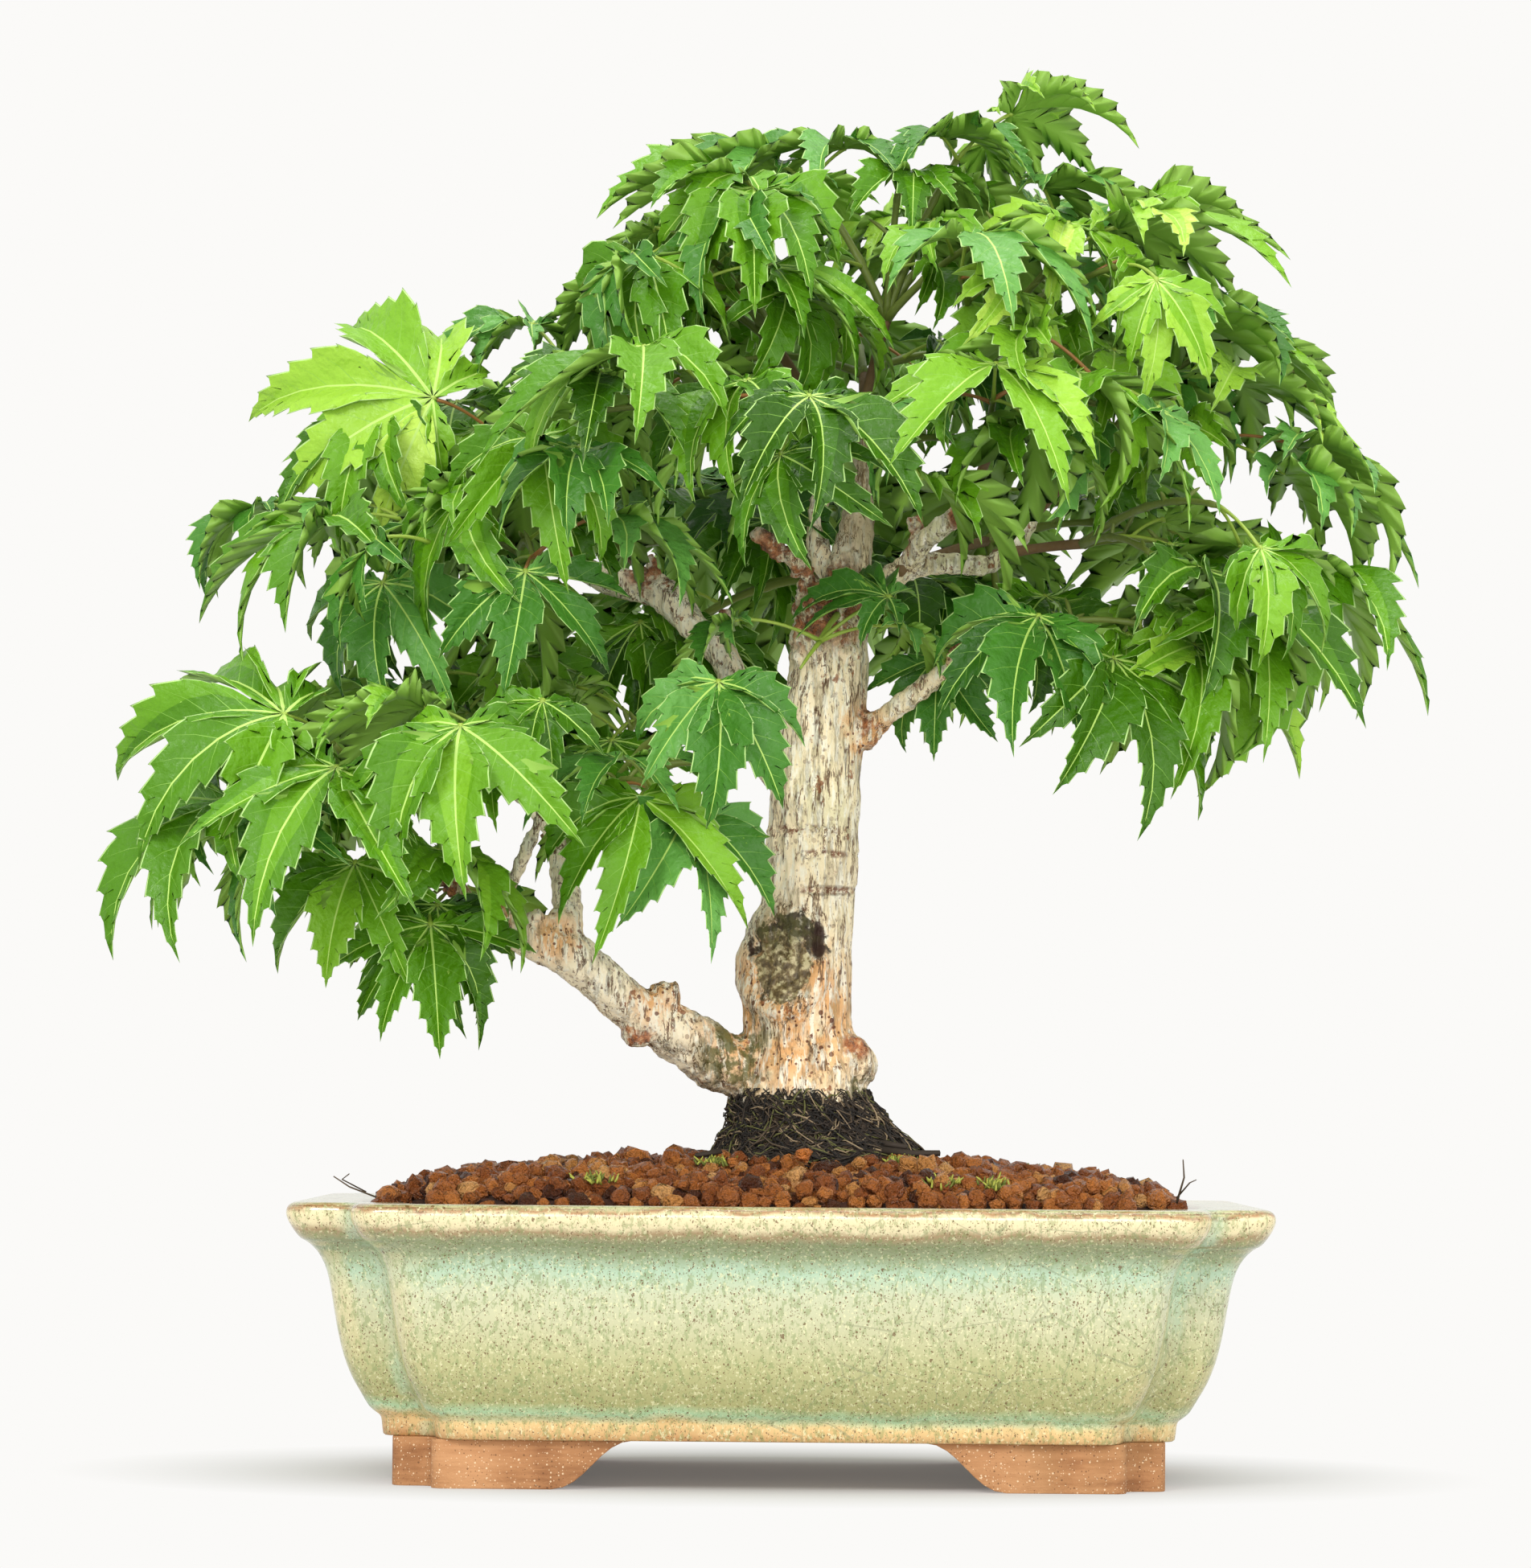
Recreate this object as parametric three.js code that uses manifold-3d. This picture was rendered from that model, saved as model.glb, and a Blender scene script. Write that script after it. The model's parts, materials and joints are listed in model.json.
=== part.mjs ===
// A shishigashira Japanese maple bonsai in its celadon pot: millimetres, +Z up, its front towards -Y.
import * as THREE from "three";
import { mergeVertices } from "three/addons/utils/BufferGeometryUtils.js";
import Module from "manifold-3d";

const wasm = await Module();
wasm.setup();

const clearance = 0.3; // gap between neighbours that share no flat face

// The pot: a rectangle with cut-in corners, given by its half length at each height.
const pot = {
  height: 55,
  underside: 9.5,
  depthLess: 27, // the half depth is this much less than the half length
  cornerCut: 0.14, // side of the cut-in corner, as a share of the half length
  cornerRound: 4,
  creaseRound: 1.5,
  outside: [
    [9.5, 77.2],
    [13, 78],
    [18, 81.5],
    [23, 84.1],
    [32, 86.3],
    [43, 88.4],
    [49, 93.9],
    [52, 95.6],
    [55, 94.8],
  ],
  inside: [
    [55, 82],
    [53.5, 81],
    [24, 77],
    [14, 70.5],
  ],
  drainRadius: 8,
  drainOffset: 42,
};
const foot = {
  inset: 2, // from the edge of the underside
  thickness: 14,
  cornerCut: 8,
  bottomInner: 44,
  topInner: 28,
  sideBottomInner: 26,
  sideTopInner: 14,
  swing: 0.42, // handles of the ogee, as a share of its width
};

// The soil: its top rises from the rim to a plateau, as shares of the inner outline and heights.
const soil = {
  top: [
    [1, 53.5],
    [0.97, 55.5],
    [0.9, 59.5],
    [0.76, 61.8],
    [0.44, 63],
  ],
  // its coarse grains, on rows that are staggered and jittered
  grains: {
    apart: 18,
    radius: [6.4, 7.6],
    proud: [2.4, 3.2],
    flatness: 0.8,
    tilt: [0.5, 1], // radians, which lays a face or an edge on top
    jitter: 2.5,
    edgeGap: 7.5, // from the wall to the middle of a grain
    rootGap: 7, // from the root ball to the middle of a grain
    seed: 61,
  },
};
const plateau = soil.top.at(-1)[1];
const rootSides = 20;
const rootBall = [
  // centre x, height, half length, half depth
  [5.5, plateau, 20.8, 18],
  [6.2, 66.5, 18.8, 16.4],
  [5, 70.5, 16.2, 15],
  [3.9, 74.2, 14.8, 14],
];

// Limbs: x, y, z and radius along each one, from where it leaves its parent to its tip.
const trunkSpine = [
  [3.9, 0, 74.2, 13.4],
  [3.2, 0, 83, 12.2],
  [2.3, 0, 90, 11.1],
  [2, 0, 103, 11.4],
  [3.9, 0, 112.6, 9.7],
  [5.2, 0, 130, 9.2],
  [5.9, 0, 145, 9.1],
  [8, 0, 158, 8.4],
  [9, 0.5, 166, 8],
  [11.8, 2.5, 176, 5.4],
  [14, 4.5, 190, 3.3],
  [15.6, 4.5, 203, 2.6],
  [15.4, 3, 216, 2.2],
];
const stumpSpine = [
  [8, -1, 158, 6.4],
  [7.4, -2.4, 169, 6.2],
  [7, -3.4, 180.5, 4.3],
];
const footKnob = { at: [14.4, -3, 83], radius: 4.6 };
const boughKnob = { at: [-23.8, -11, 95.4], radius: 3.4 };
const underKnob = { at: [-29, -12.6, 88.4], radius: 3 };

const facets = { trunk: 11, trunkSteps: 20, stump: 8, stumpSteps: 3, bough: 7, stepsPerSpan: 1.5 };

const boughs = {
  low_left_bough: {
    parent: "trunk",
    spine: [
      [-2, -1, 84, 6.8],
      [-9.9, -3, 82.6, 6.6],
      [-20.4, -8, 88.9, 6.1],
      [-30.1, -12, 94.1, 5],
      [-38.1, -16, 101.1, 5],
      [-44.4, -18, 105.8, 5],
      [-50.8, -19, 106.9, 3.8],
      [-57.8, -20.5, 112, 3.6],
    ],
  },
  low_left_fork: {
    parent: "low_left_bough",
    spine: [
      [-43, -17.6, 106, 3.2],
      [-42.8, -17, 112, 2.9],
      [-44.2, -14, 120.4, 2.4],
      [-46.4, -12, 128.1, 1.9],
      [-50.6, -10, 134.5, 1.7],
      [-54.7, -8, 137.1, 1.6],
    ],
  },
  low_left_spur: {
    parent: "low_left_bough",
    spine: [
      [-56, -20.5, 108.6, 2.4],
      [-62.4, -24, 113.6, 2.4],
      [-65.6, -27, 118, 2.1],
      [-69.8, -30, 122.4, 1.9],
    ],
  },
  low_left_twig: {
    parent: "low_left_bough",
    spine: [
      [-55.8, -20.6, 111, 1.6],
      [-53.6, -22.4, 118, 1.3],
      [-50.6, -25, 125, 1.1],
      [-47.8, -28, 131.7, 1],
    ],
  },
  mid_left_bough: {
    parent: "trunk",
    spine: [
      [3, 2, 138, 4],
      [-3.2, 6, 144, 3.4],
      [-8.2, 12, 153.6, 2.9],
      [-12.4, 18, 165.5, 3.1],
      [-20, 22, 174, 3.2],
      [-25.9, 26, 180.1, 3.4],
      [-36.7, 28, 182.6, 3],
      [-43.5, 30, 186.1, 2.6],
    ],
  },
  right_lower_bough: {
    parent: "trunk",
    spine: [
      [9, -1, 148, 3.4],
      [17, -2.4, 150.6, 2.9],
      [21.4, -6, 153.6, 2.2],
      [28.9, -10, 159, 2],
      [39, -16, 167.5, 1.7],
    ],
  },
  right_upper_bough: {
    parent: "trunk",
    spine: [
      [11.6, 2, 172, 3],
      [17.4, 4, 178.4, 2.6],
      [25, 6, 183.7, 2.4],
      [34, 8, 184.8, 2.1],
      [41.5, 10, 184.9, 2],
      [47.2, 10, 189.2, 1.9],
      [50.4, 10, 194.9, 1.6],
    ],
  },
  right_upper_spur: {
    parent: "right_upper_bough",
    spine: [
      [24.6, 5.8, 183.5, 2],
      [28, -0.6, 188.6, 1.9],
      [32.4, -5, 192, 1.9],
      [36.5, -8, 194, 1.9],
    ],
  },
  back_leader: {
    parent: "trunk",
    spine: [
      [12, 3, 177, 2.6],
      [7.1, 8, 186.2, 2.3],
      [6.2, 10, 194.5, 2],
      [7.8, 10.4, 201.1, 1.9],
      [9.3, 9, 210.7, 1.6],
    ],
  },
};

// Foliage masses. A stem runs from the tip of a limb (or the side of the trunk) to a fork, shoots run
// from the fork to the places listed, and a whorl of leaves stands at the end of each shoot.
// A placed leaf gives its base, then heading, pitch and roll in degrees and the length of its lobes.
const masses = {
  apex_foliage: {
    parent: "trunk",
    root: [15.4, 3, 216],
    fork: [20, 1, 234],
    shoots: [
      [34, -3, 266],
      [22, -6, 259],
      [4, 6, 262],
      [36, 26, 256],
      [44, -16, 250],
    ],
    reach: 26,
    leaves: [
      [45, 0, 276, 0, -15, -30, 24],
      [25, -12, 262, -100, 10, 0, 21],
      [31, -8, 270, -50, 2, 0, 25],
      [11, 2, 269, -120, 0, 0, 25],
      [-2, 6, 266, 165, -5, 10, 21],
    ],
  },
  upper_left_foliage: {
    parent: "back_leader",
    root: [9.3, 9, 210.7],
    fork: [-2, 4, 228],
    shoots: [
      [-4, -12, 250],
      [-18, -36, 236],
      [-22, 2, 240],
      [-14, 24, 250],
      [-20, -22, 246],
    ],
    reach: 31,
    leaves: [
      [-9, -20, 261, 178, -8, 0, 35],
      [-7, -27, 256, -95, 30, 0, 31],
    ],
  },
  upper_right_foliage: {
    parent: "trunk",
    root: [15.6, 4, 206],
    fork: [38, 2, 224],
    shoots: [
      [56, -8, 246],
      [78, 6, 240],
      [34, -32, 238],
      [62, 28, 248],
      [66, -36, 240],
    ],
    reach: 31,
    leaves: [
      [66, -14, 251, -20, -4, -15, 34],
      [70, 8, 256, 20, -8, -20, 30],
      [52, 4, 262, -20, -2, -10, 26],
      [35, -44, 244, -52, 4, 0, 35],
    ],
  },
  front_right_foliage: {
    parent: "right_upper_spur",
    root: [36.5, -8, 194],
    fork: [40, -24, 204],
    shoots: [
      [40, -48, 212],
      [60, -46, 216],
      [20, -50, 202],
    ],
    reach: 32,
    leaves: [
      [40, -62, 217, -76, 26, 0, 34],
    ],
  },
  front_left_foliage: {
    parent: "trunk",
    root: [14.6, 4, 196],
    fork: [0, -18, 206],
    shoots: [
      [-18, -42, 216],
      [2, -46, 210],
      [-36, -40, 210],
    ],
    reach: 31,
    leaves: [
      [-28, -60, 220, -132, 20, 0, 34],
      [4, -66, 210, -76, 35, 0, 30],
    ],
  },
  left_shoulder_foliage: {
    parent: "mid_left_bough",
    root: [-43.5, 30, 186.1],
    fork: [-54, 14, 200],
    shoots: [
      [-58, -6, 208],
      [-50, -30, 202],
      [-84, 2, 208],
      [-66, 26, 214],
      [-44, -4, 222],
    ],
    reach: 33,
    leaves: [
      [-71, -16, 215, 180, -20, -62, 37],
      [-48, -46, 204, -84, 48, 0, 29],
    ],
  },
  left_shelf_foliage: {
    parent: "mid_left_bough",
    root: [-38.5, 28.4, 183.4],
    fork: [-54, 2, 186],
    shoots: [
      [-76, -20, 190],
      [-50, -30, 182],
      [-94, 2, 192],
      [-70, -38, 184],
    ],
    reach: 31,
    leaves: [
      [-90, -24, 190, -150, 26, 0, 33],
      [-51, -42, 178, -84, 54, 0, 27],
      [-80, -24, 177, -112, 52, 0, 29],
      [-106, 2, 193, 180, 28, 0, 27],
    ],
  },
  right_shoulder_foliage: {
    parent: "right_upper_bough",
    root: [50.4, 10, 194.9],
    fork: [62, 4, 206],
    shoots: [
      [66, -2, 224],
      [85, 0, 210],
      [76, -36, 214],
      [84, 10, 228],
    ],
    reach: 33,
    leaves: [
      [80, -6, 233, -20, 4, -15, 36],
      [103, -6, 208, -15, 22, -15, 33],
    ],
  },
  right_shelf_foliage: {
    parent: "right_upper_bough",
    root: [44.6, 10, 187],
    fork: [60, -4, 188],
    shoots: [
      [90, -10, 184],
      [72, -28, 184],
      [84, 18, 188],
      [84, -44, 192],
    ],
    reach: 35,
    leaves: [
      [105, -12, 184, -6, 24, -8, 42],
      [82, -36, 180, -35, 28, 0, 39],
    ],
  },
  right_low_foliage: {
    parent: "right_lower_bough",
    root: [39, -16, 167.5],
    fork: [46, -20, 168],
    shoots: [
      [54, -32, 164],
      [70, -26, 170],
      [58, -4, 162],
      [78, -14, 164],
    ],
    reach: 33,
    leaves: [
      [61, -42, 161, -58, 46, 0, 36],
      [43, -26, 165, -80, 60, 0, 21],
      [86, -24, 166, -36, 46, 0, 34],
    ],
  },
  low_left_outer_foliage: {
    parent: "low_left_spur",
    root: [-69.8, -30, 122.4],
    fork: [-82, -32, 132],
    shoots: [
      [-88, -42, 144],
      [-94, -38, 130],
      [-102, -24, 150],
      [-103, -16, 130],
      [-78, -48, 136],
    ],
    reach: 33,
    leaves: [
      [-97, -52, 149, 178, -8, -40, 40],
      [-106, -44, 133, -172, 14, -10, 38],
      [-96, -50, 131, -150, 52, 0, 28],
    ],
  },
  low_left_front_foliage: {
    parent: "low_left_twig",
    root: [-47.8, -28, 131.7],
    fork: [-49, -38, 140],
    shoots: [
      [-56, -54, 144],
      [-40, -52, 148],
      [-46, -52, 134],
    ],
    reach: 31,
    leaves: [
      [-62, -68, 146, -96, 38, 0, 34],
    ],
  },
  low_left_inner_foliage: {
    parent: "low_left_fork",
    root: [-46.4, -12, 128.1],
    fork: [-34, -16, 138],
    shoots: [
      [-18, -38, 150],
      [-26, -32, 136],
      [-30, 4, 152],
      [-14, -20, 142],
    ],
    reach: 29,
    leaves: [
      [-13, -52, 156, -92, 46, 0, 30],
      [-24, -44, 133, -78, 44, 0, 31],
      [-15, -38, 130, -48, 46, 0, 29],
    ],
  },
  low_left_under_foliage: {
    parent: "low_left_spur",
    root: [-62.4, -24, 113.6],
    fork: [-68, -20, 111],
    shoots: [
      [-70, -26, 112],
      [-80, -26, 120],
      [-78, -4, 118],
    ],
    reach: 29,
    leaves: [
      [-69, -38, 109, -80, 58, 0, 27],
      [-86, -36, 118, -108, 56, 0, 29],
    ],
  },
  back_low_left_foliage: {
    parent: "low_left_fork",
    root: [-54.7, -8, 137.1],
    fork: [-60, 4, 146],
    shoots: [
      [-58, 14, 160],
      [-90, 18, 160],
      [-48, 42, 162],
      [-66, 36, 154],
    ],
    reach: 31,
    leaves: [
      [-56, 24, 167, -92, 30, 0, 30],
    ],
  },
  back_left_foliage: {
    parent: "mid_left_bough",
    root: [-25.9, 26, 180.1],
    fork: [-34, 44, 190],
    shoots: [
      [-56, 56, 198],
      [-36, 70, 206],
      [-72, 44, 190],
      [-18, 62, 192],
    ],
    reach: 33,
    leaves: [
      [-22, 50, 204, -70, 14, 0, 30],
    ],
  },
  back_centre_foliage: {
    parent: "trunk",
    root: [9.6, 1, 166],
    fork: [6, 34, 184],
    shoots: [
      [2, 62, 200],
      [22, 56, 182],
      [-18, 52, 176],
      [-30, 46, 168],
      [-4, 34, 196],
    ],
    reach: 33,
    leaves: [
      [-22, 34, 174, -100, 40, 0, 32],
      [26, 38, 186, -80, 30, 0, 30],
    ],
  },
  back_right_foliage: {
    parent: "right_upper_bough",
    root: [25, 6, 183.7],
    fork: [42, 34, 192],
    shoots: [
      [60, 54, 202],
      [84, 42, 194],
      [38, 64, 188],
      [46, 42, 172],
    ],
    reach: 33,
    leaves: [
      [54, 30, 180, -60, 30, 0, 30],
    ],
  },
  back_top_foliage: {
    parent: "trunk",
    root: [15.5, 4.4, 208],
    fork: [16, 30, 226],
    shoots: [
      [14, 54, 238],
      [42, 50, 232],
      [-14, 50, 230],
    ],
    reach: 32,
    leaves: [],
  },
};

// Twigs, petioles and leaves.
const twig = { sides: 3, steps: 2, stem: 1.3, fork: 1.1, tip: 0.8, rise: 0.08 };
const petiole = { radius: 0.55, heel: 2 };
const bud = { fork: 1.9, tip: 1.5 };
const whorl = {
  turns: [0, -60, 60, -116, 116], // headings of a shoot's leaves, from the way it points
  follow: 0.6, // how far that way follows the shoot, against straight out from the crown's axis
  jitter: [-16, 16],
  stalk: [11, 19],
  climb: [4, 34],
  pitch: [10, 38],
  roll: [-20, 20],
  droop: [35, 72],
  size: [0.84, 1.14],
};
const crowding = { gap: 4.4, shares: [0.35, 0.7, 0.98] }; // leaves closer than the gap don't grow
const leafForm = {
  thickness: 1.2,
  angles: [-98, -48, 0, 48, 98],
  reaches: [0.68, 0.92, 1, 0.92, 0.68],
  shoulderAt: 0.56,
  shoulderHalf: 0.21,
  notchAt: 0.32,
  startSlope: -8, // degrees below the leaf's plane
  droop: 56, // slope at the tips of a placed leaf
};
const crownAxis = [12, 4];

const colours = {
  glaze: 0xb9c7a4,
  biscuit: 0xb08a6c,
  soil: 0x8a4a2b,
  peat: 0x2b2724,
  bark: 0xc3ae8c,
  leaf: 0x3f8f35,
};

// Seeded random numbers from 0 to 1.
function seeded(seed) {
  let state = seed;
  return () => {
    state = (state + 0x6d2b79f5) | 0;
    let mixed = Math.imul(state ^ (state >>> 15), 1 | state);
    mixed = (mixed + Math.imul(mixed ^ (mixed >>> 7), 61 | mixed)) ^ mixed;
    return ((mixed ^ (mixed >>> 14)) >>> 0) / 4294967296;
  };
}

const vector = ([x, y, z]) => new THREE.Vector3(x, y, z);
const radians = THREE.MathUtils.degToRad;

// A closed geometry as a solid that can be joined and cut.
function solid(geometry) {
  const plain = geometry.clone();
  plain.deleteAttribute("normal");
  plain.deleteAttribute("uv");
  const merged = mergeVertices(plain, 1e-4);
  return new wasm.Manifold(
    new wasm.Mesh({
      numProp: 3,
      vertProperties: merged.getAttribute("position").array,
      triVerts: new Uint32Array(merged.index.array),
    }),
  );
}

function geometryOf(made) {
  const { vertProperties, triVerts, numProp } = made.getMesh();
  const places = new Float32Array((vertProperties.length / numProp) * 3);
  for (let i = 0; i < places.length / 3; i++)
    places.set(vertProperties.subarray(i * numProp, i * numProp + 3), i * 3);
  const geometry = new THREE.BufferGeometry();
  geometry.setAttribute("position", new THREE.BufferAttribute(places, 3));
  geometry.setIndex(new THREE.BufferAttribute(triVerts, 1));
  geometry.computeVertexNormals();
  return geometry;
}

function surface(points, triangles) {
  const geometry = new THREE.BufferGeometry();
  const places = points.flatMap((point) => [point.x, point.y, point.z]);
  geometry.setAttribute("position", new THREE.Float32BufferAttribute(places, 3));
  geometry.setIndex(triangles.flat());
  return geometry;
}

// A skin over rings of equal count, walked anticlockwise, with a flat cap on the first and the last.
function loft(rings) {
  const count = rings[0].length;
  const middle = (ring) =>
    ring.reduce((sum, point) => sum.add(point), new THREE.Vector3()).divideScalar(count);
  const points = [...rings.flat(), middle(rings[0]), middle(rings.at(-1))];
  const first = points.length - 2;
  const last = points.length - 1;
  const top = (rings.length - 1) * count;
  const triangles = [];
  for (let i = 0; i < count; i++) {
    const j = (i + 1) % count;
    for (let level = 0; level < top; level += count) {
      triangles.push([level + i, level + j, level + count + j]);
      triangles.push([level + i, level + count + j, level + count + i]);
    }
    triangles.push([first, j, i], [last, top + i, top + j]);
  }
  return surface(points, triangles);
}

// A tapering tube along a smooth spine of [x, y, z, radius].
function limb(spine, sides, steps, extra = 0, upright = false) {
  const path = new THREE.CatmullRomCurve3(spine.map(vector));
  const rings = [];
  let across = new THREE.Vector3(1, 0, 0);
  for (let step = 0; step <= steps; step++) {
    const share = step / steps;
    const place = share * (spine.length - 1);
    const before = Math.min(Math.floor(place), spine.length - 2);
    const radius =
      THREE.MathUtils.lerp(spine[before][3], spine[before + 1][3], place - before) + extra;
    const ahead = upright && step === 0 ? new THREE.Vector3(0, 0, 1) : path.getTangent(share);
    across = across.clone().addScaledVector(ahead, -across.dot(ahead)).normalize();
    const beside = new THREE.Vector3().crossVectors(ahead, across);
    const centre = path.getPoint(share);
    rings.push(
      Array.from({ length: sides }, (_, side) => {
        const turn = (2 * Math.PI * side) / sides;
        return centre
          .clone()
          .addScaledVector(across, radius * Math.cos(turn))
          .addScaledVector(beside, radius * Math.sin(turn));
      }),
    );
  }
  return loft(rings);
}

function knob({ at, radius }) {
  const ball = new THREE.DodecahedronGeometry(radius);
  return solid(ball.translate(...at));
}

// One level of the pot: panels with rounded edges between cut-in corners.
function potOutline(halfLength, height, inset = 0) {
  const a = halfLength - inset;
  const b = halfLength - pot.depthLess - inset;
  const cut = pot.cornerCut * halfLength;
  const round = pot.cornerRound;
  const bulge = round * (1 - Math.SQRT1_2);
  const crease = pot.creaseRound;
  const quarter = [
    [a, b - cut - round],
    [a - bulge, b - cut - bulge],
    [a - round, b - cut],
    [a - cut + crease, b - cut],
    [a - cut, b - cut + crease],
    [a - cut, b - round],
    [a - cut - bulge, b - bulge],
    [a - cut - round, b],
  ];
  const half = [...quarter, ...quarter.toReversed().map(([x, y]) => [-x, y])];
  const whole = [...half, ...half.map(([x, y]) => [-x, -y])];
  return whole.map(([x, y]) => new THREE.Vector3(x, y, height));
}

function makePot() {
  const walls = [...pot.outside, ...pot.inside];
  const bowl = solid(loft(walls.map(([height, half]) => potOutline(half, height))));
  const drains = [-1, 1].map((side) =>
    solid(
      new THREE.CylinderGeometry(pot.drainRadius, pot.drainRadius, pot.height, 16)
        .rotateX(Math.PI / 2)
        .translate(side * pot.drainOffset, 0, 0),
    ),
  );
  return drains.reduce((made, drain) => made.subtract(drain), bowl);
}

// The elevation of one arm of a foot: straight at the corner, an ogee on the inner side.
function footArm(outer, bottomInner, topInner) {
  const arm = new THREE.Shape();
  const handle = foot.swing * (topInner - bottomInner);
  arm.moveTo(bottomInner, 0);
  arm.lineTo(outer, 0);
  arm.lineTo(outer, pot.underside);
  arm.lineTo(topInner, pot.underside);
  arm.bezierCurveTo(
    topInner - handle,
    pot.underside,
    bottomInner + handle,
    0,
    bottomInner,
    0,
  );
  return new THREE.ExtrudeGeometry(arm, {
    depth: foot.thickness,
    bevelEnabled: false,
    curveSegments: 8,
  }).rotateX(Math.PI / 2);
}

function makeFoot() {
  const halfLength = pot.outside[0][1] - foot.inset;
  const halfDepth = halfLength - pot.depthLess;
  const long = solid(
    footArm(halfLength, foot.bottomInner, foot.topInner).translate(0, halfDepth, 0),
  );
  const short = solid(
    footArm(halfDepth, foot.sideBottomInner, foot.sideTopInner)
      .rotateZ(Math.PI / 2)
      .translate(halfLength - foot.thickness, 0, 0),
  );
  const side = 2 * foot.cornerCut;
  const notch = new THREE.BoxGeometry(side, side, 4 * pot.underside);
  return long.add(short).subtract(solid(notch.translate(halfLength, halfDepth, 0)));
}

function makeSoil() {
  const wall = pot.inside.toReversed().slice(0, -1);
  const level = (half, height) => potOutline(half, height, clearance);
  const sides = wall.slice(0, -1).map(([height, half]) => level(half, height));
  const edge = wall.at(-1)[1];
  const crown = soil.top.map(([share, height]) =>
    level(edge, height).map((point) => point.multiply(new THREE.Vector3(share, share, 1))),
  );
  return coarseGrains(edge).reduce((made, grain) => made.add(grain), solid(loft([...sides, ...crown])));
}

// The height of the soil at a place, from the share of the inner outline that it lies at.
function soilHeight(x, y, edge) {
  const share = Math.max(Math.abs(x) / edge, Math.abs(y) / (edge - pot.depthLess));
  const inner = soil.top.findIndex(([level]) => level <= share);
  if (inner < 1) return plateau;
  const [[outerShare, low], [innerShare, high]] = soil.top.slice(inner - 1, inner + 1);
  return THREE.MathUtils.mapLinear(share, outerShare, innerShare, low, high);
}

// Grains that stand out of the soil, clear of the wall and of the root ball.
function coarseGrains(edge) {
  const { apart, radius, proud, flatness, tilt, jitter, edgeGap, rootGap, seed } = soil.grains;
  const random = seeded(seed);
  const between = (low, high) => low + (high - low) * random();
  const halfLength = edge - edgeGap;
  const halfDepth = halfLength - pot.depthLess;
  const cut = pot.cornerCut * edge;
  const [rootX, , rootLength, rootDepth] = rootBall[0];
  const rowGap = apart * Math.sin(Math.PI / 3);
  const rows = 2 * Math.round(halfDepth / rowGap);
  const columns = Math.ceil(halfLength / apart);
  const grains = [];
  for (let row = 0; row < rows; row++) {
    for (let column = -columns; column <= columns; column++) {
      const x = (column + (row % 2) / 2) * apart + between(-jitter, jitter);
      const y = (row - (rows - 1) / 2) * rowGap + between(-jitter, jitter);
      const stone = new THREE.OctahedronGeometry(between(...radius)).rotateX(between(...tilt));
      stone.scale(1, 1, flatness).rotateZ(between(0, 2 * Math.PI));
      const top = soilHeight(x, y, edge) + between(...proud);
      const inCorner = Math.abs(x) > halfLength - cut && Math.abs(y) > halfDepth - cut;
      const outside = Math.abs(x) > halfLength || Math.abs(y) > halfDepth || inCorner;
      const onRoots = Math.hypot((x - rootX) / (rootLength + rootGap), y / (rootDepth + rootGap)) < 1;
      if (outside || onRoots) continue;
      stone.computeBoundingBox();
      grains.push(solid(stone.translate(x, y, top - stone.boundingBox.max.z)));
    }
  }
  return grains;
}

function makeRootBall() {
  const rings = rootBall.map(([x, height, halfLength, halfDepth]) =>
    Array.from({ length: rootSides }, (_, side) => {
      const turn = (2 * Math.PI * side) / rootSides;
      return new THREE.Vector3(
        x + halfLength * Math.cos(turn),
        halfDepth * Math.sin(turn),
        height,
      );
    }),
  );
  return loft(rings);
}

function makeTrunk(extra = 0) {
  const main = solid(limb(trunkSpine, facets.trunk, facets.trunkSteps, extra, true));
  const stump = solid(limb(stumpSpine, facets.stump, facets.stumpSteps, extra));
  return main.add(stump).add(knob(footKnob));
}

function makeBough(name, extra = 0) {
  const { spine } = boughs[name];
  const steps = Math.ceil(facets.stepsPerSpan * (spine.length - 1));
  const made = solid(limb(spine, facets.bough, steps, extra));
  if (name !== "low_left_bough") return made;
  return made.add(knob(boughKnob)).add(knob(underKnob));
}

// The path of a drooping lobe at a share of its length: how far out and how far down.
function lobePoint(share, slope) {
  const start = radians(leafForm.startSlope);
  const bend = radians(slope) - start;
  const now = start + bend * share;
  return [(Math.sin(now) - Math.sin(start)) / bend, (Math.cos(start) - Math.cos(now)) / bend];
}

// The place on a drooping leaf that lies at an angle from its middle lobe, at a share of that lobe.
function leafPlacer(leaf) {
  const heading = radians(leaf.heading);
  const pitch = radians(leaf.pitch);
  const ahead = new THREE.Vector3(
    Math.cos(heading) * Math.cos(pitch),
    Math.sin(heading) * Math.cos(pitch),
    -Math.sin(pitch),
  );
  const level = new THREE.Vector3(-Math.sin(heading), Math.cos(heading), 0);
  const side = level.applyAxisAngle(ahead, radians(leaf.roll));
  const up = new THREE.Vector3().crossVectors(ahead, side);
  const place = (angle, share, aside, reach) => {
    const [out, down] = lobePoint(share, leaf.droop);
    const along = reach * out;
    return leaf.at
      .clone()
      .addScaledVector(ahead, along * Math.cos(angle) - aside * Math.sin(angle))
      .addScaledVector(side, along * Math.sin(angle) + aside * Math.cos(angle))
      .addScaledVector(up, -reach * down);
  };
  return { place, ahead, side, up };
}

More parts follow.
